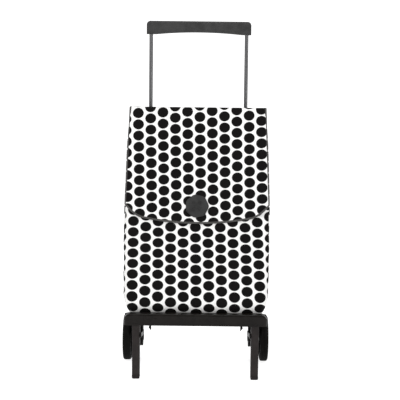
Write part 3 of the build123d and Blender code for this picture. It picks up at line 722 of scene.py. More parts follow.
@dataclass(frozen=True)
class PrintedCloth:
    """White woven cloth with a black half-drop print of oval dots."""

    name: str
    shift: tuple[float, float]
    turn: float = 0.0
    ground: Colour = (0.83, 0.825, 0.815)
    ink: Colour = (0.0026, 0.0023, 0.0023)
    thread: float = 0.0007

    def make(self, effects: Effects) -> bpy.types.Material:
        """Build the material.

        Args:
            effects: The shared node groups.

        Returns:
            The material.
        """
        made, tree, shader = new_finish(self.name)
        cloth = tree.add("ShaderNodeUVMap", uv_map="UVMap").outputs[0]
        placed = tree.add("ShaderNodeMapping", vector_type="POINT")
        placed.inputs["Location"].default_value = (*self.shift, 0.0)
        placed.inputs["Rotation"].default_value = (0.0, 0.0, self.turn)
        tree.link(cloth, placed.inputs["Vector"])
        dots = tree.group(effects.dots, Cloth=placed.outputs[0])
        weave = tree.group(effects.weave, Cloth=cloth, Thread=self.thread)
        shade = tree.span(weave.outputs["Shade"], 0.3, 0.7, 0.0, 1.0)
        ground = tree.blend(shade, tuple(0.93 * part for part in self.ground), self.ground)
        ink = tree.blend(shade, self.ink, tuple(2.6 * part for part in self.ink))
        tree.link(tree.blend(dots.outputs["Dot"], ground, ink), shader.inputs["Base Color"])
        tree.link(tree.span(dots.outputs["Dot"], 0.0, 1.0, 0.86, 0.72), shader.inputs["Roughness"])
        shader.inputs["Specular IOR Level"].default_value = 0.06
        bump(tree, shader, weave.outputs["Height"], 0.35, 0.00012)
        return made


@dataclass(frozen=True)
class PlainCloth:
    """One-colour woven cloth or tape, with painted shade in the hollows between its threads."""

    name: str
    colour: Colour
    thread: float = 0.0008
    sheen: float = 0.12
    relief: float = 0.5

    def make(self, effects: Effects) -> bpy.types.Material:
        """Build the material.

        Args:
            effects: The shared node groups.

        Returns:
            The material.
        """
        made, tree, shader = new_finish(self.name)
        cloth = tree.add("ShaderNodeUVMap", uv_map="UVMap").outputs[0]
        weave = tree.group(effects.weave, Cloth=cloth, Thread=self.thread)
        shade = tree.span(weave.outputs["Shade"], 0.3, 0.7, 0.0, 1.0)
        darker = tuple(0.7 * part for part in self.colour)
        lighter = tuple(1.3 * part for part in self.colour)
        threads = tree.blend(shade, darker, lighter)
        # painted shade: the colour goes darker where the weave is low, in the hollows between the threads
        tree.link(tree.blend(tree.span(weave.outputs["Height"], 0.0, 0.6, 1.0, 0.0), threads, darker),
                  shader.inputs["Base Color"])
        tree.link(tree.span(weave.outputs["Shade"], 0.3, 0.7, 0.72, 0.9), shader.inputs["Roughness"])
        shader.inputs["Specular IOR Level"].default_value = 0.25
        shader.inputs["Sheen Weight"].default_value = self.sheen
        bump(tree, shader, weave.outputs["Height"], self.relief, 0.0002)
        return made


class Finish(Enum):
    """Every plain finish on the trolley.

    All but BUTTON_PLASTIC and THREAD carry the name of a slot in the record, and dress the nodes that
    name it.
    """

    DARK_PLASTIC = MouldedPlastic("dark_plastic", grey(0.034), 0.58, grain=0.3, scuff=0.2, specular=0.15)
    BUTTON_PLASTIC = MouldedPlastic("button_plastic", grey(0.026), 0.5, grain=0.3, scuff=0.3, specular=0.18)
    BLACK_PLASTIC = MouldedPlastic("black_plastic", (0.0040, 0.0036, 0.0034), 0.5, specular=0.07)
    GLOSS_PLASTIC = MouldedPlastic("gloss_plastic", (0.0056, 0.0043, 0.0036), 0.30, grain=0.05, specular=0.11,
                                   scuff=0.25, coat=0.05)
    LEG_PLASTIC = MouldedPlastic("leg_plastic", (0.0165, 0.0132, 0.0126), 0.42, specular=0.14, scuff=0.4)
    BUSH_PLASTIC = MouldedPlastic("bush_plastic", (0.62, 0.60, 0.55), 0.4, specular=0.4)
    ANODISED_TUBE = DrawnMetal("anodised_tube", (0.160, 0.160, 0.163), 0.36)
    PAINTED_METAL = DrawnMetal("painted_metal", (0.0060, 0.0056, 0.0056), 0.42, metallic=0.0)
    STEEL = DrawnMetal("steel", (0.46, 0.46, 0.47), 0.32)
    TYRE_RUBBER = MouldedPlastic("tyre_rubber", (0.0044, 0.0042, 0.0038), 0.72, grain=0.35, grain_scale=700.0,
                                 dust=0.03, scuff=0.4, specular=0.05)
    FOOT_RUBBER = MouldedPlastic("foot_rubber", (0.0150, 0.0120, 0.0114), 0.62, grain=0.3, dust=0.04,
                                 specular=0.12)
    LINING_CLOTH = PlainCloth("lining_cloth", grey(0.026))
    BINDING_TAPE = PlainCloth("binding_tape", (0.066, 0.063, 0.060), thread=0.0009)
    THREAD = PlainCloth("thread", grey(0.09), thread=0.0004)


FRONT_PRINT = PrintedCloth("front_print", shift=(-0.0372, -0.0011))
SIDE_PRINT = PrintedCloth("side_print", shift=(0.006, 0.011))
FLAP_PRINT = PrintedCloth("flap_print", shift=(-0.0038, 0.0036), turn=math.radians(-1.3))
Recipe = MouldedPlastic | DrawnMetal | PrintedCloth | PlainCloth


class Wardrobe:
    """Makes each finish when it is first asked for."""

    def __init__(self) -> None:
        """Build the shared effects."""
        self.effects = Effects()
        self.made: dict[str, bpy.types.Material] = {}

    def get(self, finish: Finish | Recipe) -> bpy.types.Material:
        """The material of a finish."""
        recipe = finish.value if isinstance(finish, Finish) else finish
        if recipe.name not in self.made:
            self.made[recipe.name] = recipe.make(self.effects)
        return self.made[recipe.name]

    def dress(self, piece: bpy.types.Object, *finishes: Finish | Recipe) -> None:
        """Put finishes in a piece's material slots, in order."""
        slots = piece.data.materials
        for number, finish in enumerate(finishes):
            if number < len(slots):
                slots[number] = self.get(finish)
            else:
                slots.append(self.get(finish))


def dress_frame(wardrobe: Wardrobe) -> None:
    """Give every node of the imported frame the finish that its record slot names."""
    by_slot = {finish.value.name: finish for finish in Finish}
    for row in frame["record"]["subparts"]:
        finish = by_slot.get(row["material_slot"])
        if finish is not None:
            wardrobe.dress(frame["nodes"][row["node"]], finish)
    LOG.info("dressed %d frame nodes", len(frame["nodes"]))


# ---------------------------------------------------------------------------------------------------
# The cloth
# ---------------------------------------------------------------------------------------------------
@dataclass
class BagForm:
    """Sizes of the bag that the shell, the flap and the tapes share, all read from the frame."""

    front: Line = field(default_factory=lambda: line_of_node("bag_front", 1, np.min))
    side: Line = field(default_factory=lambda: line_of_node("bag_side_right", 0, np.max))
    back: float = field(default_factory=lambda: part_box("bag_back")[1].y)
    low: float = field(default_factory=lambda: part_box("bag_front")[0].z)
    high: float = field(default_factory=lambda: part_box("bag_front")[1].z)
    corner: float = 0.016
    squash_keep: float = 0.22

    def crumple(self, piece: bpy.types.Object) -> None:
        """Give a piece of the bag its own copy of its mesh."""
        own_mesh(piece)


class Panel(IntEnum):
    """The bag's panels, which are also its material slots; the lining is the inside of them all."""

    BACK = 0
    SIDE = 1
    FRONT = 2
    LINING = 3


@dataclass
class BagShell:
    """The bag: one lofted shell of front, sides, back and base, open at the top.

    Each level is a rectangle with round corners whose width and depth follow the frame's lines.  It is
    walked from the middle of the back, round the left side and the front, and back to its start.
    """

    form: BagForm
    levels: int = 132
    side_steps: int = 30
    corner_steps: int = 6
    front_steps: int = 84
    back_steps: int = 40
    base_levels: int = 12
    base_round: float = 0.012
    cloth: float = 0.0016
    print_lean: float = 0.0205
    print_stretch: float = 1.03
    side_puff: float = 3.4 * MM
    front_puff: float = 1.2 * MM
    foot_pull: float = 1.6 * MM
    fold_depths: tuple = (0.25 * MM, 1.5 * MM, 0.75 * MM)
    under_flap: float = 1.0 * MM
    hem_fade: float = 0.03
    flap_low: float = field(default_factory=lambda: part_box("flap_front")[0].z)

    def ring(self) -> tuple[Array, Array, Array, Array]:
        """Positions round one level, as shares of its width and depth.

        Returns:
            The share of half width from -1 to 1, the share of depth from 0 at the back to 1 at the front,
            the corner offset in X and the corner offset in Y, in units of the corner radius.
        """
        quarter = (np.arange(self.corner_steps) + 0.5) / self.corner_steps * math.pi / 2
        flat_side = (np.arange(self.side_steps) + 0.5) / self.side_steps
        flat_front = (np.arange(self.front_steps) + 0.5) / self.front_steps * 2 - 1
        flat_back = (np.arange(self.back_steps) + 0.5) / self.back_steps * 2 - 1
        ones, zeros = np.ones, np.zeros
        pieces = [
            (flat_back[::-1], zeros(self.back_steps), zeros(self.back_steps), -ones(self.back_steps)),
            (-ones(self.corner_steps), zeros(self.corner_steps), -np.sin(quarter), -np.cos(quarter)),
            (-ones(self.side_steps), flat_side, -ones(self.side_steps), zeros(self.side_steps)),
            (-ones(self.corner_steps), ones(self.corner_steps), -np.cos(quarter), np.sin(quarter)),
            (flat_front, ones(self.front_steps), zeros(self.front_steps), ones(self.front_steps)),
            (ones(self.corner_steps), ones(self.corner_steps), np.sin(quarter), np.cos(quarter)),
            (ones(self.side_steps), flat_side[::-1], ones(self.side_steps), zeros(self.side_steps)),
            (ones(self.corner_steps), zeros(self.corner_steps), np.cos(quarter), -np.sin(quarter)),
        ]
        return tuple(np.concatenate([piece[i] for piece in pieces]) for i in range(4))

    def panel_numbers(self) -> Array:
        """Which panel each column belongs to; a corner goes with the back or the front."""
        counts = [(self.back_steps, Panel.BACK), (self.corner_steps, Panel.BACK),
                  (self.side_steps, Panel.SIDE), (self.corner_steps, Panel.FRONT),
                  (self.front_steps, Panel.FRONT), (self.corner_steps, Panel.FRONT),
                  (self.side_steps, Panel.SIDE), (self.corner_steps, Panel.BACK)]
        return np.concatenate([np.full(count, int(panel)) for count, panel in counts])

    def level(self, height: Array) -> Array:
        """Points of each level: rectangle side plus corner circle.

        Args:
            height: Height of each level.

        Returns:
            Levels by columns by 3.
        """
        half_share, depth_share, corner_x, corner_y = self.ring()
        half = self.form.side.at(height)[:, None]
        front = self.form.front.at(height)[:, None]
        back = self.form.back
        radius = np.minimum(self.form.corner, (back - front) / 3)
        x = half_share * (half - radius) + corner_x * radius
        y = (back - radius) + depth_share * ((front + radius) - (back - radius)) - corner_y * radius
        z = np.broadcast_to(height[:, None], x.shape)
        return np.stack([x, y, z], axis=-1)

    def slack(self, points: Array) -> Array:
        """How far the cloth stands proud or sinks, along X on the sides and along Y in front.

        The sides and the front puff by a power of sin over the height; soft noise, longer down than
        across, makes shallow folds; and all of it fades out towards the corners.  Under the flap the front
        only sinks.

        Args:
            points: Levels by columns by 3.

        Returns:
            The distance for each point, outwards.
        """
        half_share, depth_share, _, _ = self.ring()
        panels = self.panel_numbers()
        on_side, on_front = panels == Panel.SIDE, panels == Panel.FRONT
        rise = (points[..., 2] - self.form.low) / (self.form.high - self.form.low)
        across = np.where(on_front, 1 - half_share ** 2, 4 * depth_share * (1 - depth_share))
        fade = ease(across * 3.0)
        x, y, z = (points[..., i] for i in range(3))
        along = np.where(on_front, x, y * 1.6)
        broad_folds = smooth_noise(along * 16 + 3, z * 7 + x, 5)
        fine_folds = smooth_noise(along * 34 + z * 9, z * 15, 8)
        folds = np.array(self.fold_depths)[panels] * (broad_folds + 0.5 * fine_folds)
        side_puff = self.side_puff * np.sin(math.pi * np.clip(rise, 0, 1)) ** 0.7
        front_puff = self.front_puff * np.sin(math.pi * rise) ** 2
        puff = np.where(on_side, side_puff, 0.0) + np.where(on_front, front_puff, 0.0)
        at_foot = np.exp(-((rise - 0.05) / 0.1) ** 2) * (on_side | on_front)
        pulled = self.foot_pull * smooth_noise(along * 26 + z * 12, z * 5, 21) * at_foot
        slack = fade * (puff + folds + pulled)
        covered = ease((z - self.flap_low) / self.hem_fade) * on_front
        return slack * (1 - covered) + np.minimum(slack - self.under_flap, 0.0) * covered

    def build(self, wardrobe: Wardrobe) -> bpy.types.Object:
        """Make the shell with its cloth thickness, and hang it on the frame.

        Args:
            wardrobe: Where the finishes come from.

        Returns:
            The shell.
        """
        points, base_rows = self.points()
        shell = self.mesh(points, self.panel_numbers(), base_rows)
        solidify(shell, self.cloth, -1.0, inside=int(Panel.LINING))
        wardrobe.dress(shell, Finish.LINING_CLOTH, SIDE_PRINT, FRONT_PRINT, Finish.LINING_CLOTH)
        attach(shell, "frame")
        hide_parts("bag_front", "bag_back", "bag_side_left", "bag_side_right", "bag_base")
        self.form.crumple(shell)
        return shell

    def points(self) -> tuple[Array, int]:
        """Every point of the shell: the base's rings, the round foot and the walls.

        The foot is a quarter circle of base_round: at angle t a level is drawn in by r * (1 - sin t) and
        stands r * (1 - cos t) above the base.  The base's rings shrink the foot's lowest level.

        Returns:
            Levels by columns by 3, and the number of levels in the base.
        """
        wall_height = np.linspace(self.form.low + self.base_round, self.form.high, self.levels)
        walls = self.level(wall_height)
        panels, half_share = self.panel_numbers(), self.ring()[0]
        outward = np.zeros_like(walls)
        outward[..., 0] = np.where(panels == Panel.SIDE, np.sign(half_share), 0.0)
        outward[..., 1] = np.where(panels == Panel.FRONT, -1.0, 0.0)
        walls += outward * self.slack(walls)[..., None]
        middle = np.array([0.0, walls[0, :, 1].mean(), 0.0])
        inward = unit((middle - walls[0]) * [1.0, 1.0, 0.0])
        turn = np.linspace(0.0, math.pi / 2, self.base_levels)[:-1, None, None]
        foot = walls[0] + inward * self.base_round * (1.0 - np.sin(turn))
        foot[..., 2] = self.form.low + self.base_round * (1.0 - np.cos(turn[..., 0]))
        centre = np.array([0.0, middle[1], self.form.low])
        shares = np.linspace(0.03, 1.0, self.base_levels)[:-1, None, None]
        base = centre + (foot[0] - centre) * shares
        return np.concatenate([base, foot, walls]), len(base)

    def mesh(self, points: Array, panels: Array, base_rows: int) -> bpy.types.Object:
        """The shell's mesh, each face with its panel's material and cloth coordinates.

        Args:
            points: Levels by columns by 3.
            panels: Panel number of each column.
            base_rows: Levels that belong to the base.

        Returns:
            The mesh object.
        """
        rows, columns = points.shape[:2]
        quads = grid_faces(rows, columns, wrap=True)
        face_row = np.repeat(np.arange(rows - 1), columns)
        face_panel = np.where(face_row < base_rows, int(Panel.BACK), np.tile(panels, rows - 1))
        flat = points.reshape(-1, 3)
        middle = self.back_steps + 2 * self.corner_steps + self.side_steps + self.front_steps // 2
        rise = np.repeat(running_length(points[:, middle]), columns)
        front_uv = np.stack([flat[:, 0] + self.print_lean * rise, rise / self.print_stretch], axis=-1)
        side_uv = flat[:, [1, 2]]
        back_uv = np.stack([flat[:, 0], flat[:, 2] + flat[:, 1]], axis=-1)
        choices = np.stack([back_uv, side_uv, front_uv])
        corner_uv = choices[np.repeat(face_panel, 4), quads.ravel()]
        cap = np.arange(columns)[::-1]
        faces = quads.tolist() + [cap.tolist()]
        return mesh_object("bag_shell", flat, faces, np.vstack([corner_uv, back_uv[cap]]),
                           np.append(face_panel, int(Panel.BACK)))


@dataclass
class Flap:
    """The flap: one sheet from the bag's back edge, over its mouth and down the front to a curved hem."""

    form: BagForm
    rows: int = 150
    columns: int = 120
    gap: float = 0.0012
    cloth: float = 0.0016
    fold_radius: float = 0.006
    hem_bow: float = 0.027
    hem_corner: float = 0.025
    corner_start: float = 0.74
    curl: float = 0.003
    tape_start: float = 0.004
    tape_width: float = 0.0040
    tape_cover: float = 0.0007
    stitch_pitch: float = 0.0036
    stitch_inset: float = 0.0032
    stitch_share: float = 0.67
    thread_radius: float = 0.00028
    print_skew: float = 0.0165
    print_narrow: float = 1.0085
    broad_folds: float = 0.7 * MM
    fine_folds: float = 0.35 * MM
    proud: float = 0.8 * MM
    fold_fade: float = 0.03
    edge_start: float = 0.9
    hinge_back: float = 0.012
    hinge_front: float = 0.002
    hinge_drop: float = 0.022
    area_share: float = 0.93
    lid: tuple = field(default_factory=lambda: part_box("flap_top"))
    drop: tuple = field(default_factory=lambda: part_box("flap_front"))

    def route(self, count: int = 800) -> tuple[Array, Array]:
        """Path of the flap's middle line in Y and Z, and its length.

        It runs forwards on the lid's level, turns down through a quarter circle and follows the bag's
        front, which its own line gives, a gap further out.

        Args:
            count: Points on the path.

        Returns:
            Points (y, z) and the distance along the path at each.
        """
        top = self.lid[1].z - self.cloth
        back = self.lid[1].y
        heights = np.linspace(top - self.fold_radius, self.drop[0].z, count)
        reach = np.minimum(heights, self.form.high)
        hang = self.form.front.at(reach) - self.gap - self.cloth
        front_top = hang[0]
        lid_y = np.linspace(back, front_top + self.fold_radius, 40)[:-1]
        bend = np.linspace(0, math.pi / 2, 14)[:-1]
        turn_y = front_top + self.fold_radius * (1 - np.sin(bend))
        turn_z = top - self.fold_radius * (1 - np.cos(bend))
        y = np.concatenate([lid_y, turn_y, hang])
        z = np.concatenate([np.full(len(lid_y), top), turn_z, heights])
        line = np.stack([y, z], axis=-1)
        return line, running_length(line)

    def half_width(self, height: Array) -> Array:
        """Half width of the flap: the lid's at the top, growing evenly to the hem's corners."""
        top = self.lid[1].z
        corner = self.drop[0].z + self.hem_bow + self.hem_corner
        share = np.clip((top - height) / (top - corner), 0.0, 1.0)
        return self.lid[1].x + (self.drop[1].x - self.lid[1].x) * share

    def end_length(self, x: Array, total: float) -> Array:
        """Length of the flap at each X: total - bow * x^2 - corner * c^2, with c from 0 to 1 over the corner.

        Args:
            x: Distance from the middle as a share of the half width.
            total: Length down the middle.

        Returns:
            The length from the back edge to the hem.
        """
        share = np.abs(x)
        corner = np.maximum(share - self.corner_start, 0.0) / (1.0 - self.corner_start)
        return total - self.hem_bow * share ** 2 - self.hem_corner * corner ** 2

    def place(self, x: Array, length: Array, line: Array, lengths: Array) -> tuple[Array, Array]:
        """Points and outward normals at positions on the flap.

        Args:
            x: Share of the half width, from -1 to 1.
            length: Distance along the flap.
            line: Points (y, z) of the middle line.
            lengths: Distance at each of them.

        Returns:
            Points and normals, each ending in 3 numbers.
        """
        y, z = (np.interp(length, lengths, line[:, i]) for i in (0, 1))
        step = 0.0015
        y2, z2 = (np.interp(length + step, lengths, line[:, i]) for i in (0, 1))
        y1, z1 = (np.interp(length - step, lengths, line[:, i]) for i in (0, 1))
        tangent = unit(np.stack([np.zeros_like(y), y2 - y1, z2 - z1], axis=-1))
        normal = np.stack([np.zeros_like(y), tangent[..., 2], -tangent[..., 1]], axis=-1)
        across = x * self.half_width(z)
        hang = ease((self.lid[1].z - z) / self.fold_fade)
        edge = np.clip((np.abs(x) - self.edge_start) / (1.0 - self.edge_start), 0.0, 1.0)
        folds = (self.broad_folds * smooth_noise(across * 14 + 4, z * 6, 31)
                 + self.fine_folds * smooth_noise(across * 30, z * 13, 32))
        lift = hang * (folds * (1 - edge) + self.proud)
        points = np.stack([across, y, z], axis=-1) + normal * lift[..., None]
        points[..., 1] += self.curl * edge ** 2 * hang
        return points, normal

    def outline(self, total: float) -> tuple[Array, Array]:
        """The flap's free edge: down the left, round the hem and up the right.

        Args:
            total: Length of the flap down the middle.

        Returns:
            The share of half width and the length at each point of the edge.
        """
        side = float(self.end_length(np.ones(1), total)[0])
        down = np.linspace(self.tape_start, side, 110)
        angle = np.linspace(-math.pi / 2, math.pi / 2, 180)
        hem_x = np.sin(angle)
        x = np.concatenate([np.full(len(down) - 1, -1.0), hem_x, np.full(len(down) - 1, 1.0)])
        length = np.concatenate([down[:-1], self.end_length(hem_x, total), down[::-1][1:]])
        return x, length

    def build(self, wardrobe: Wardrobe) -> list[bpy.types.Object]:
        """Make the sheet, its binding tape and the stitching.

        Args:
            wardrobe: Where the finishes come from.

        Returns:
            The pieces.
        """
        line, lengths = self.route()
        total = float(lengths[-1])
        angle = np.linspace(-math.pi / 2, math.pi / 2, self.columns)
        share = np.sin(angle)[None, :]
        down = np.linspace(0.0, 1.0, self.rows)[:, None]
        length = down * self.end_length(share, total)
        x = np.broadcast_to(share, length.shape)
        points, _ = self.place(x, length, line, lengths)
        skewed = -length - self.print_skew * points[..., 0]
        uv = np.stack([points[..., 0] * self.print_narrow, skewed], axis=-1)
        sheet = surface("flap_cloth", points, uv, turn=True)
        solidify(sheet, self.cloth, 1.0)
        wardrobe.dress(sheet, FLAP_PRINT)
        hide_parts("flap_top", "flap_front")
        x, length = self.outline(total)
        path, normal = self.place(x, length, line, lengths)
        along = unit(np.gradient(path, axis=0))
        inward = unit(np.cross(normal, along))
        outward = unit(np.cross(along, inward))
        tape = self.binding(path, inward, outward)
        wardrobe.dress(tape, Finish.BINDING_TAPE)
        stitches = self.stitches(path, inward, outward)
        wardrobe.dress(stitches, Finish.THREAD)
        pieces = [sheet, tape, stitches]
        for piece in pieces:
            self.hinge(piece)
        return pieces

    def hinge(self, piece: bpy.types.Object) -> None:
        """Bake a piece's placement into its mesh."""
        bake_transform(piece)

    def binding(self, path: Array, inward: Array, outward: Array) -> bpy.types.Object:
        """Tape folded over the edge: a flat ring whose outer side is a half circle.

        Args:
            path: Points of the edge, on the cloth's inner side.
            inward: Unit vectors from the edge into the cloth.
            outward: Unit vectors out of the cloth.

        Returns:
            The tape.
        """
        middle, half = self.cloth / 2, self.cloth / 2 + self.tape_cover
        turn = np.linspace(-math.pi / 2, math.pi / 2, 9)
        bend = np.stack([-half * np.cos(turn) + 0.0004, middle + half * np.sin(turn)], axis=-1)
        flat = np.array([[self.tape_width, middle + half * 0.92], [self.tape_width, middle - half * 0.92]])
        return swept("flap_binding", path, inward, outward, np.vstack([bend, flat]))

    def stitches(self, path: Array, inward: Array, outward: Array) -> bpy.types.Object:
        """Row of short threads that stand on the tape.

        Args:
            path: Points of the edge, on the cloth's inner side.
            inward: Unit vectors from the edge into the cloth.
            outward: Unit vectors out of the cloth.

        Returns:
            The stitches.
        """
        distance = running_length(path)
        first = 2 * self.tape_width
        spots = np.arange(first, distance[-1] - first, self.stitch_pitch)

        def at_spots(values: Array) -> Array:
            """Values of the edge at each stitch."""
            return np.stack([np.interp(spots, distance, values[:, i]) for i in range(3)], axis=-1)

        along = unit(at_spots(np.gradient(path, axis=0)))
        out = unit(at_spots(outward))
        in_from_edge = unit(at_spots(inward)) * self.stitch_inset
        places = at_spots(path) + in_from_edge + out * (self.cloth + self.tape_cover)
        axes = np.stack([along, np.cross(out, along), out], axis=1)
        shape, faces = capsule(self.stitch_share * self.stitch_pitch, self.thread_radius)
        return scattered("flap_stitches", shape, faces, places, axes)


@dataclass
class MouthHem:
    """Tape folded over the bag's top edge all round its mouth."""

    form: BagForm
    shell: BagShell
    deep: float = 0.010
    proud: float = 0.0006
    thinner: float = 0.0002

    def build(self, wardrobe: Wardrobe) -> bpy.types.Object:
        """Make the tape from the shell's top level.

        Args:
            wardrobe: Where the finishes come from.

        Returns:
            The tape.
        """
        ring = self.shell.level(np.array([self.form.high]))[0]
        along = unit(np.roll(ring, -1, axis=0) - np.roll(ring, 1, axis=0))
        down = np.tile([0.0, 0.0, -1.0], (len(ring), 1))
        outward = unit(np.cross(down, along))
        if outward[len(ring) // 2] @ FORWARDS < 0:
            outward = -outward
        inner, outer = -self.shell.cloth - self.proud, self.proud
        middle, half = (inner + outer) / 2, (outer - inner) / 2
        turn = np.linspace(-math.pi / 2, math.pi / 2, 9)
        bend = np.stack([-half * np.cos(turn), middle + half * np.sin(turn)], axis=-1)
        flat = np.array([[self.deep, outer - self.thinner], [self.deep, inner + self.thinner]])
        tape = swept("mouth_hem", ring, down, outward, np.vstack([bend, flat]), closed=True)
        wardrobe.dress(tape, Finish.BINDING_TAPE)
        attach(tape, "frame")
        self.form.crumple(tape)
        return tape


@dataclass
class ClosureButton:
    """Round pressed button with seven shallow lobes and four dimples.

    With share = r / R, its radius is R * share * (1 + w * share^3 * cos(7 * angle)), and its face stands
    at rim + (1 - rim) * (1 - share^6)^(1/2) of its thickness, less a smooth bowl for each dimple.
    """

    lobes: int = 7
    wave: float = 0.026
    larger: float = 1.065
    dimple_ring: float = 0.0125
    dimple_radius: float = 0.0048
    dimple_depth: float = 0.0020
    rim_share: float = 0.35
    rings: int = 60
    sides: int = 168

    def build(self, wardrobe: Wardrobe) -> bpy.types.Object:
        """Make the button in the place and tilt of the frame's own.

        Args:
            wardrobe: Where the finishes come from.

        Returns:
            The button.
        """
        corners = corners_of_node("closure_button")
        centre = (corners.min(axis=0) + corners.max(axis=0)) / 2
        _, _, turned = np.linalg.svd(corners - corners.mean(axis=0), full_matrices=False)
        out = turned[2] * (-1.0 if turned[2][1] > 0 else 1.0)
        side = np.array([1.0, 0.0, 0.0])
        up = unit(np.cross(side, out)) * (1.0 if np.cross(side, out)[2] > 0 else -1.0)
        depths = (corners - centre) @ out
        low, high = depths.min(), depths.max()
        radius = self.larger * ((corners - centre) @ side).max() / (1.0 + self.wave)
        share = np.sin(np.linspace(0.0, 1.0, self.rings) * math.pi / 2)[:, None]
        angle = (np.arange(self.sides) * 2 * math.pi / self.sides)[None, :]
        lobed = 1.0 + self.wave * share ** 3 * np.cos(self.lobes * angle)
        reach = radius * np.maximum(share, 0.01) * lobed
        flat_x, flat_z = reach * np.cos(angle), reach * np.sin(angle)
        dome = np.sqrt(np.clip(1.0 - share ** 6, 0.0, 1.0))
        face = low + (high - low) * (self.rim_share + (1.0 - self.rim_share) * dome)
        face = np.broadcast_to(face, flat_x.shape).copy()
        for quarter in range(4):
            turn = math.pi / 4 + quarter * math.pi / 2
            dimple_x, dimple_z = self.dimple_ring * math.cos(turn), self.dimple_ring * math.sin(turn)
            far = np.hypot(flat_x - dimple_x, flat_z - dimple_z)
            face -= self.dimple_depth * ease((1.12 - far / self.dimple_radius) * 3.0)
        grid = np.concatenate([self.spread(centre, flat_x, flat_z, face, side, up, out),
                               self.spread(centre, flat_x[-1:], flat_z[-1:], np.full((1, self.sides), low),
                                           side, up, out)])
        quads = grid_faces(len(grid), self.sides, wrap=True)
        first = np.arange(self.sides)
        last = first + (len(grid) - 1) * self.sides
        button = mesh_object("pressed_button", grid.reshape(-1, 3),
                             quads.tolist() + [first[::-1].tolist(), last.tolist()])
        face_outwards(button)
        wardrobe.dress(button, Finish.BUTTON_PLASTIC)
        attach(button, "flap_drop")
        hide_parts("closure_button")
        return button

    @staticmethod
    def spread(centre: Array, x: Array, z: Array, depth: Array, side: Array, up: Array, out: Array) -> Array:
        """Points at x along side, z along up and depth along out, from the centre."""
        return centre + x[..., None] * side + z[..., None] * up + depth[..., None] * out


@dataclass
class StrapLoops:
    """Two webbing loops on the bag's back, round the hanger rod."""

    webbing: float = 0.0014
    slack: float = 0.0004
    wide: float = 0.050
    spread: float = 0.0012

    def build(self, wardrobe: Wardrobe) -> bpy.types.Object:
        """Make both loops: each leaves the bag, passes round the rod in a half circle and comes back.

        Args:
            wardrobe: Where the finishes come from.

        Returns:
            Both loops as one object.
        """
        low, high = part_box("hanger_loops")
        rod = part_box("hanger_rod")
        rod_y, rod_z = (rod[0].y + rod[1].y) / 2, (rod[0].z + rod[1].z) / 2
        inner = (rod[1].z - rod[0].z) / 2 + self.slack
        turn = np.linspace(-math.pi / 2, math.pi / 2, 17)
        curve = np.stack([rod_y + inner * np.cos(turn), rod_z + inner * np.sin(turn)], axis=-1)
        out = np.array([[low.y, rod_z - inner - self.spread],
                        [(low.y + rod_y) / 2, rod_z - inner - self.spread / 3]])
        line = np.vstack([out, curve, out[::-1] * [1, -1] + [0, 2 * rod_z]])
        across = np.linspace(high.x - self.wide, high.x, 14)
        points = np.zeros((len(line), len(across), 3))
        points[..., 0] = across[None, :]
        points[..., 1:] = line[:, None, :]
        uv = np.stack(np.broadcast_arrays(across[None, :], running_length(line)[:, None]), axis=-1)
        faces = grid_faces(len(line), len(across))
        mirrored = points * [-1.0, 1.0, 1.0]
        both = np.concatenate([points.reshape(-1, 3), mirrored.reshape(-1, 3)])
        count = len(line) * len(across)
        all_faces = np.vstack([faces, faces[:, ::-1] + count])
        corner_uv = np.tile(uv.reshape(-1, 2), (2, 1))[all_faces.ravel()]
        loops = mesh_object("strap_loops", both, all_faces.tolist(), corner_uv)
        solidify(loops, self.webbing, 1.0)
        wardrobe.dress(loops, Finish.BINDING_TAPE)
        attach(loops, "frame")
        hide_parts("hanger_loops")
        return loops


@dataclass
class LockSprings:
    """A conical coil spring behind each press button."""

    wire: float = 0.00035
    narrow: float = 0.45
    turns: float = 3.0
    seat_gap: float = 0.0003
    steps: int = 73
    wire_sides: int = 8
    keep: float = 0.16

    def build(self, wardrobe: Wardrobe) -> list[bpy.types.Object]:
        """Make both springs: the coil's radius shrinks evenly from the post to the button.

        Args:
            wardrobe: Where the finishes come from.

        Returns:
            The springs.
        """
        pieces = []
        low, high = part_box("lock_springs")
        wide = (high.z - low.z) / 2 - self.wire
        middle = np.array([(low.y + high.y) / 2, (low.z + high.z) / 2])
        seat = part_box("outer_tube_right")[1].x + 2 * self.wire + self.seat_gap
        share = np.linspace(0.0, 1.0, self.steps)
        angle = share * self.turns * 2 * math.pi
        turn = np.arange(self.wire_sides) * 2 * math.pi / self.wire_sides
        ring = self.wire * np.stack([np.cos(turn), np.sin(turn)], axis=-1)
        for side, sign in (("left", -1.0), ("right", 1.0)):
            radius = wide * (1.0 - self.narrow * share)
            path = np.stack([sign * (seat + share * (high.x - self.wire - seat)),
                             middle[0] + radius * np.cos(angle), middle[1] + radius * np.sin(angle)], axis=-1)
            along = unit(np.gradient(path, axis=0))
            across = unit(np.cross(along, np.broadcast_to([1.0, 0.0, 0.0], along.shape)))
            spring = swept("lock_spring_" + side, path, across, unit(np.cross(across, along)), ring)
            wardrobe.dress(spring, Finish.STEEL)
            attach(spring, "frame")
            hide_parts("lock_springs")
            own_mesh(spring)
            pieces.append(spring)
        return pieces


# ---------------------------------------------------------------------------------------------------
# Floor, light and camera
# ---------------------------------------------------------------------------------------------------
@dataclass(frozen=True)
class Lamp:
    """A square soft light that points at a place."""

    name: str
    place: Place
    aim: Place
    size: float
    power: float

    def build(self) -> None:
        """Add the light to the scene."""
        data = bpy.data.lights.new(self.name, "AREA")
        data.shape = "SQUARE"
        data.size = self.size
        data.energy = self.power
        lamp = bpy.data.objects.new(self.name, data)
        bpy.context.scene.collection.objects.link(lamp)
        way = Vector(self.aim) - Vector(self.place)
        lamp.rotation_euler = way.to_track_quat("-Z", "Y").to_euler()
        lamp.location = self.place


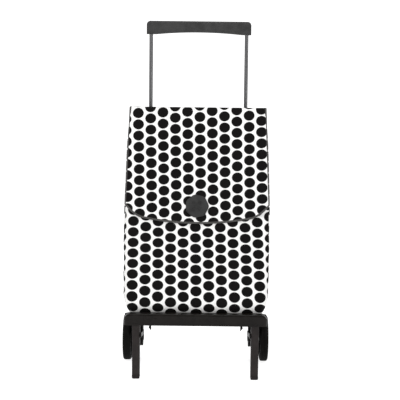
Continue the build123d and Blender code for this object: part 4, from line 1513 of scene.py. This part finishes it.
@dataclass
class Studio:
    """Pale floor, soft lights and the camera."""

    lamps: tuple = (Lamp("key", (-2.2, -2.3, 2.3), (0, 0, 0.5), 1.8, 60.0),
                    Lamp("fill", (2.4, -2.2, 1.9), (0, 0, 0.45), 1.8, 46.0),
                    Lamp("top", (0.0, 0.2, 2.8), (0, 0, 0.4), 1.6, 24.0))
    floor_reach: float = 14.0
    floor_drop: float = 0.0002
    floor_glow: float = 0.86
    light_strength: float = 0.35
    backdrop_strength: float = 1.6
    camera_x: float = 0.0081
    camera_distance: float = 2.982
    camera_height: float = 0.7603
    pitch: float = math.radians(5.74)
    roll: float = math.radians(0.66)
    focal_share: float = 1058.9 / 400
    sensor: float = 36.0

    def floor(self) -> None:
        """A wide pale floor."""
        signs = np.array([[-1, -1], [1, -1], [1, 1], [-1, 1]])
        corners = np.column_stack([signs * self.floor_reach, np.full(4, -self.floor_drop)])
        plane = mesh_object("floor", corners, [[0, 1, 2, 3]])
        made, tree, shader = new_finish("pale_floor")
        place = tree.add("ShaderNodeTexCoord").outputs["Object"]
        tone = tree.span(tree.noise(place, 3.0, 3.0), 0.3, 0.7, 0.0, 1.0)
        tree.link(tree.blend(tone, grey(0.50), grey(0.52)), shader.inputs["Base Color"])
        shader.inputs["Roughness"].default_value = 0.9
        shader.inputs["Specular IOR Level"].default_value = 0.1
        shader.inputs["Emission Color"].default_value = (1.0, 1.0, 1.0, 1.0)
        shader.inputs["Emission Strength"].default_value = self.floor_glow
        plane.data.materials.append(made)

    def sky(self) -> None:
        """White surroundings, dimmer as a light than as a backdrop."""
        world = bpy.data.worlds.new("studio")
        bpy.context.scene.world = world
        world.use_nodes = True
        tree = Tree(world.node_tree)
        shade = world.node_tree.nodes["Background"]
        shade.inputs["Color"].default_value = (1.0, 1.0, 1.0, 1.0)
        shade.inputs["Strength"].default_value = self.light_strength
        backdrop = tree.add("ShaderNodeBackground")
        backdrop.inputs["Strength"].default_value = self.backdrop_strength
        seen = tree.add("ShaderNodeLightPath").outputs["Is Camera Ray"]
        mixed = tree.add("ShaderNodeMixShader")
        tree.link(seen, mixed.inputs[0])
        tree.link(shade.outputs[0], mixed.inputs[1])
        tree.link(backdrop.outputs[0], mixed.inputs[2])
        tree.link(mixed.outputs[0], world.node_tree.nodes["World Output"].inputs["Surface"])

    def camera(self) -> None:
        """The camera: in front of the posts at bag height, tipped down and rolled a little."""
        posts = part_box("inner_tube_right")
        post_y = (posts[0].y + posts[1].y) / 2
        data = bpy.data.cameras.new("camera")
        data.sensor_width = self.sensor
        data.lens = self.focal_share * self.sensor
        data.clip_end = 100.0
        made = bpy.data.objects.new("camera", data)
        bpy.context.scene.collection.objects.link(made)
        place = Matrix.Translation((self.camera_x, post_y - self.camera_distance, self.camera_height))
        tip = Matrix.Rotation(math.pi / 2 - self.pitch, 4, "X")
        made.matrix_world = place @ tip @ Matrix.Rotation(self.roll, 4, "Z")
        bpy.context.scene.camera = made

    def build(self) -> None:
        """Set up the whole studio."""
        scene = bpy.context.scene
        scene.view_settings.view_transform = "Standard"
        self.floor()
        self.sky()
        for lamp in self.lamps:
            lamp.build()
        self.camera()


def main() -> None:
    """Build the trolley's looks in order."""
    logging.basicConfig(level=logging.INFO, format="%(name)s: %(message)s")
    wardrobe = Wardrobe()
    dress_frame(wardrobe)
    form = BagForm()
    shell = BagShell(form)
    LOG.info("made %s", shell.build(wardrobe).name)
    for piece in Flap(form).build(wardrobe):
        LOG.info("made %s", piece.name)
    for maker in (MouthHem(form, shell), ClosureButton(), StrapLoops()):
        LOG.info("made %s", maker.build(wardrobe).name)
    for piece in LockSprings().build(wardrobe):
        LOG.info("made %s", piece.name)
    Studio().build()


if __name__ == "__main__":
    main()
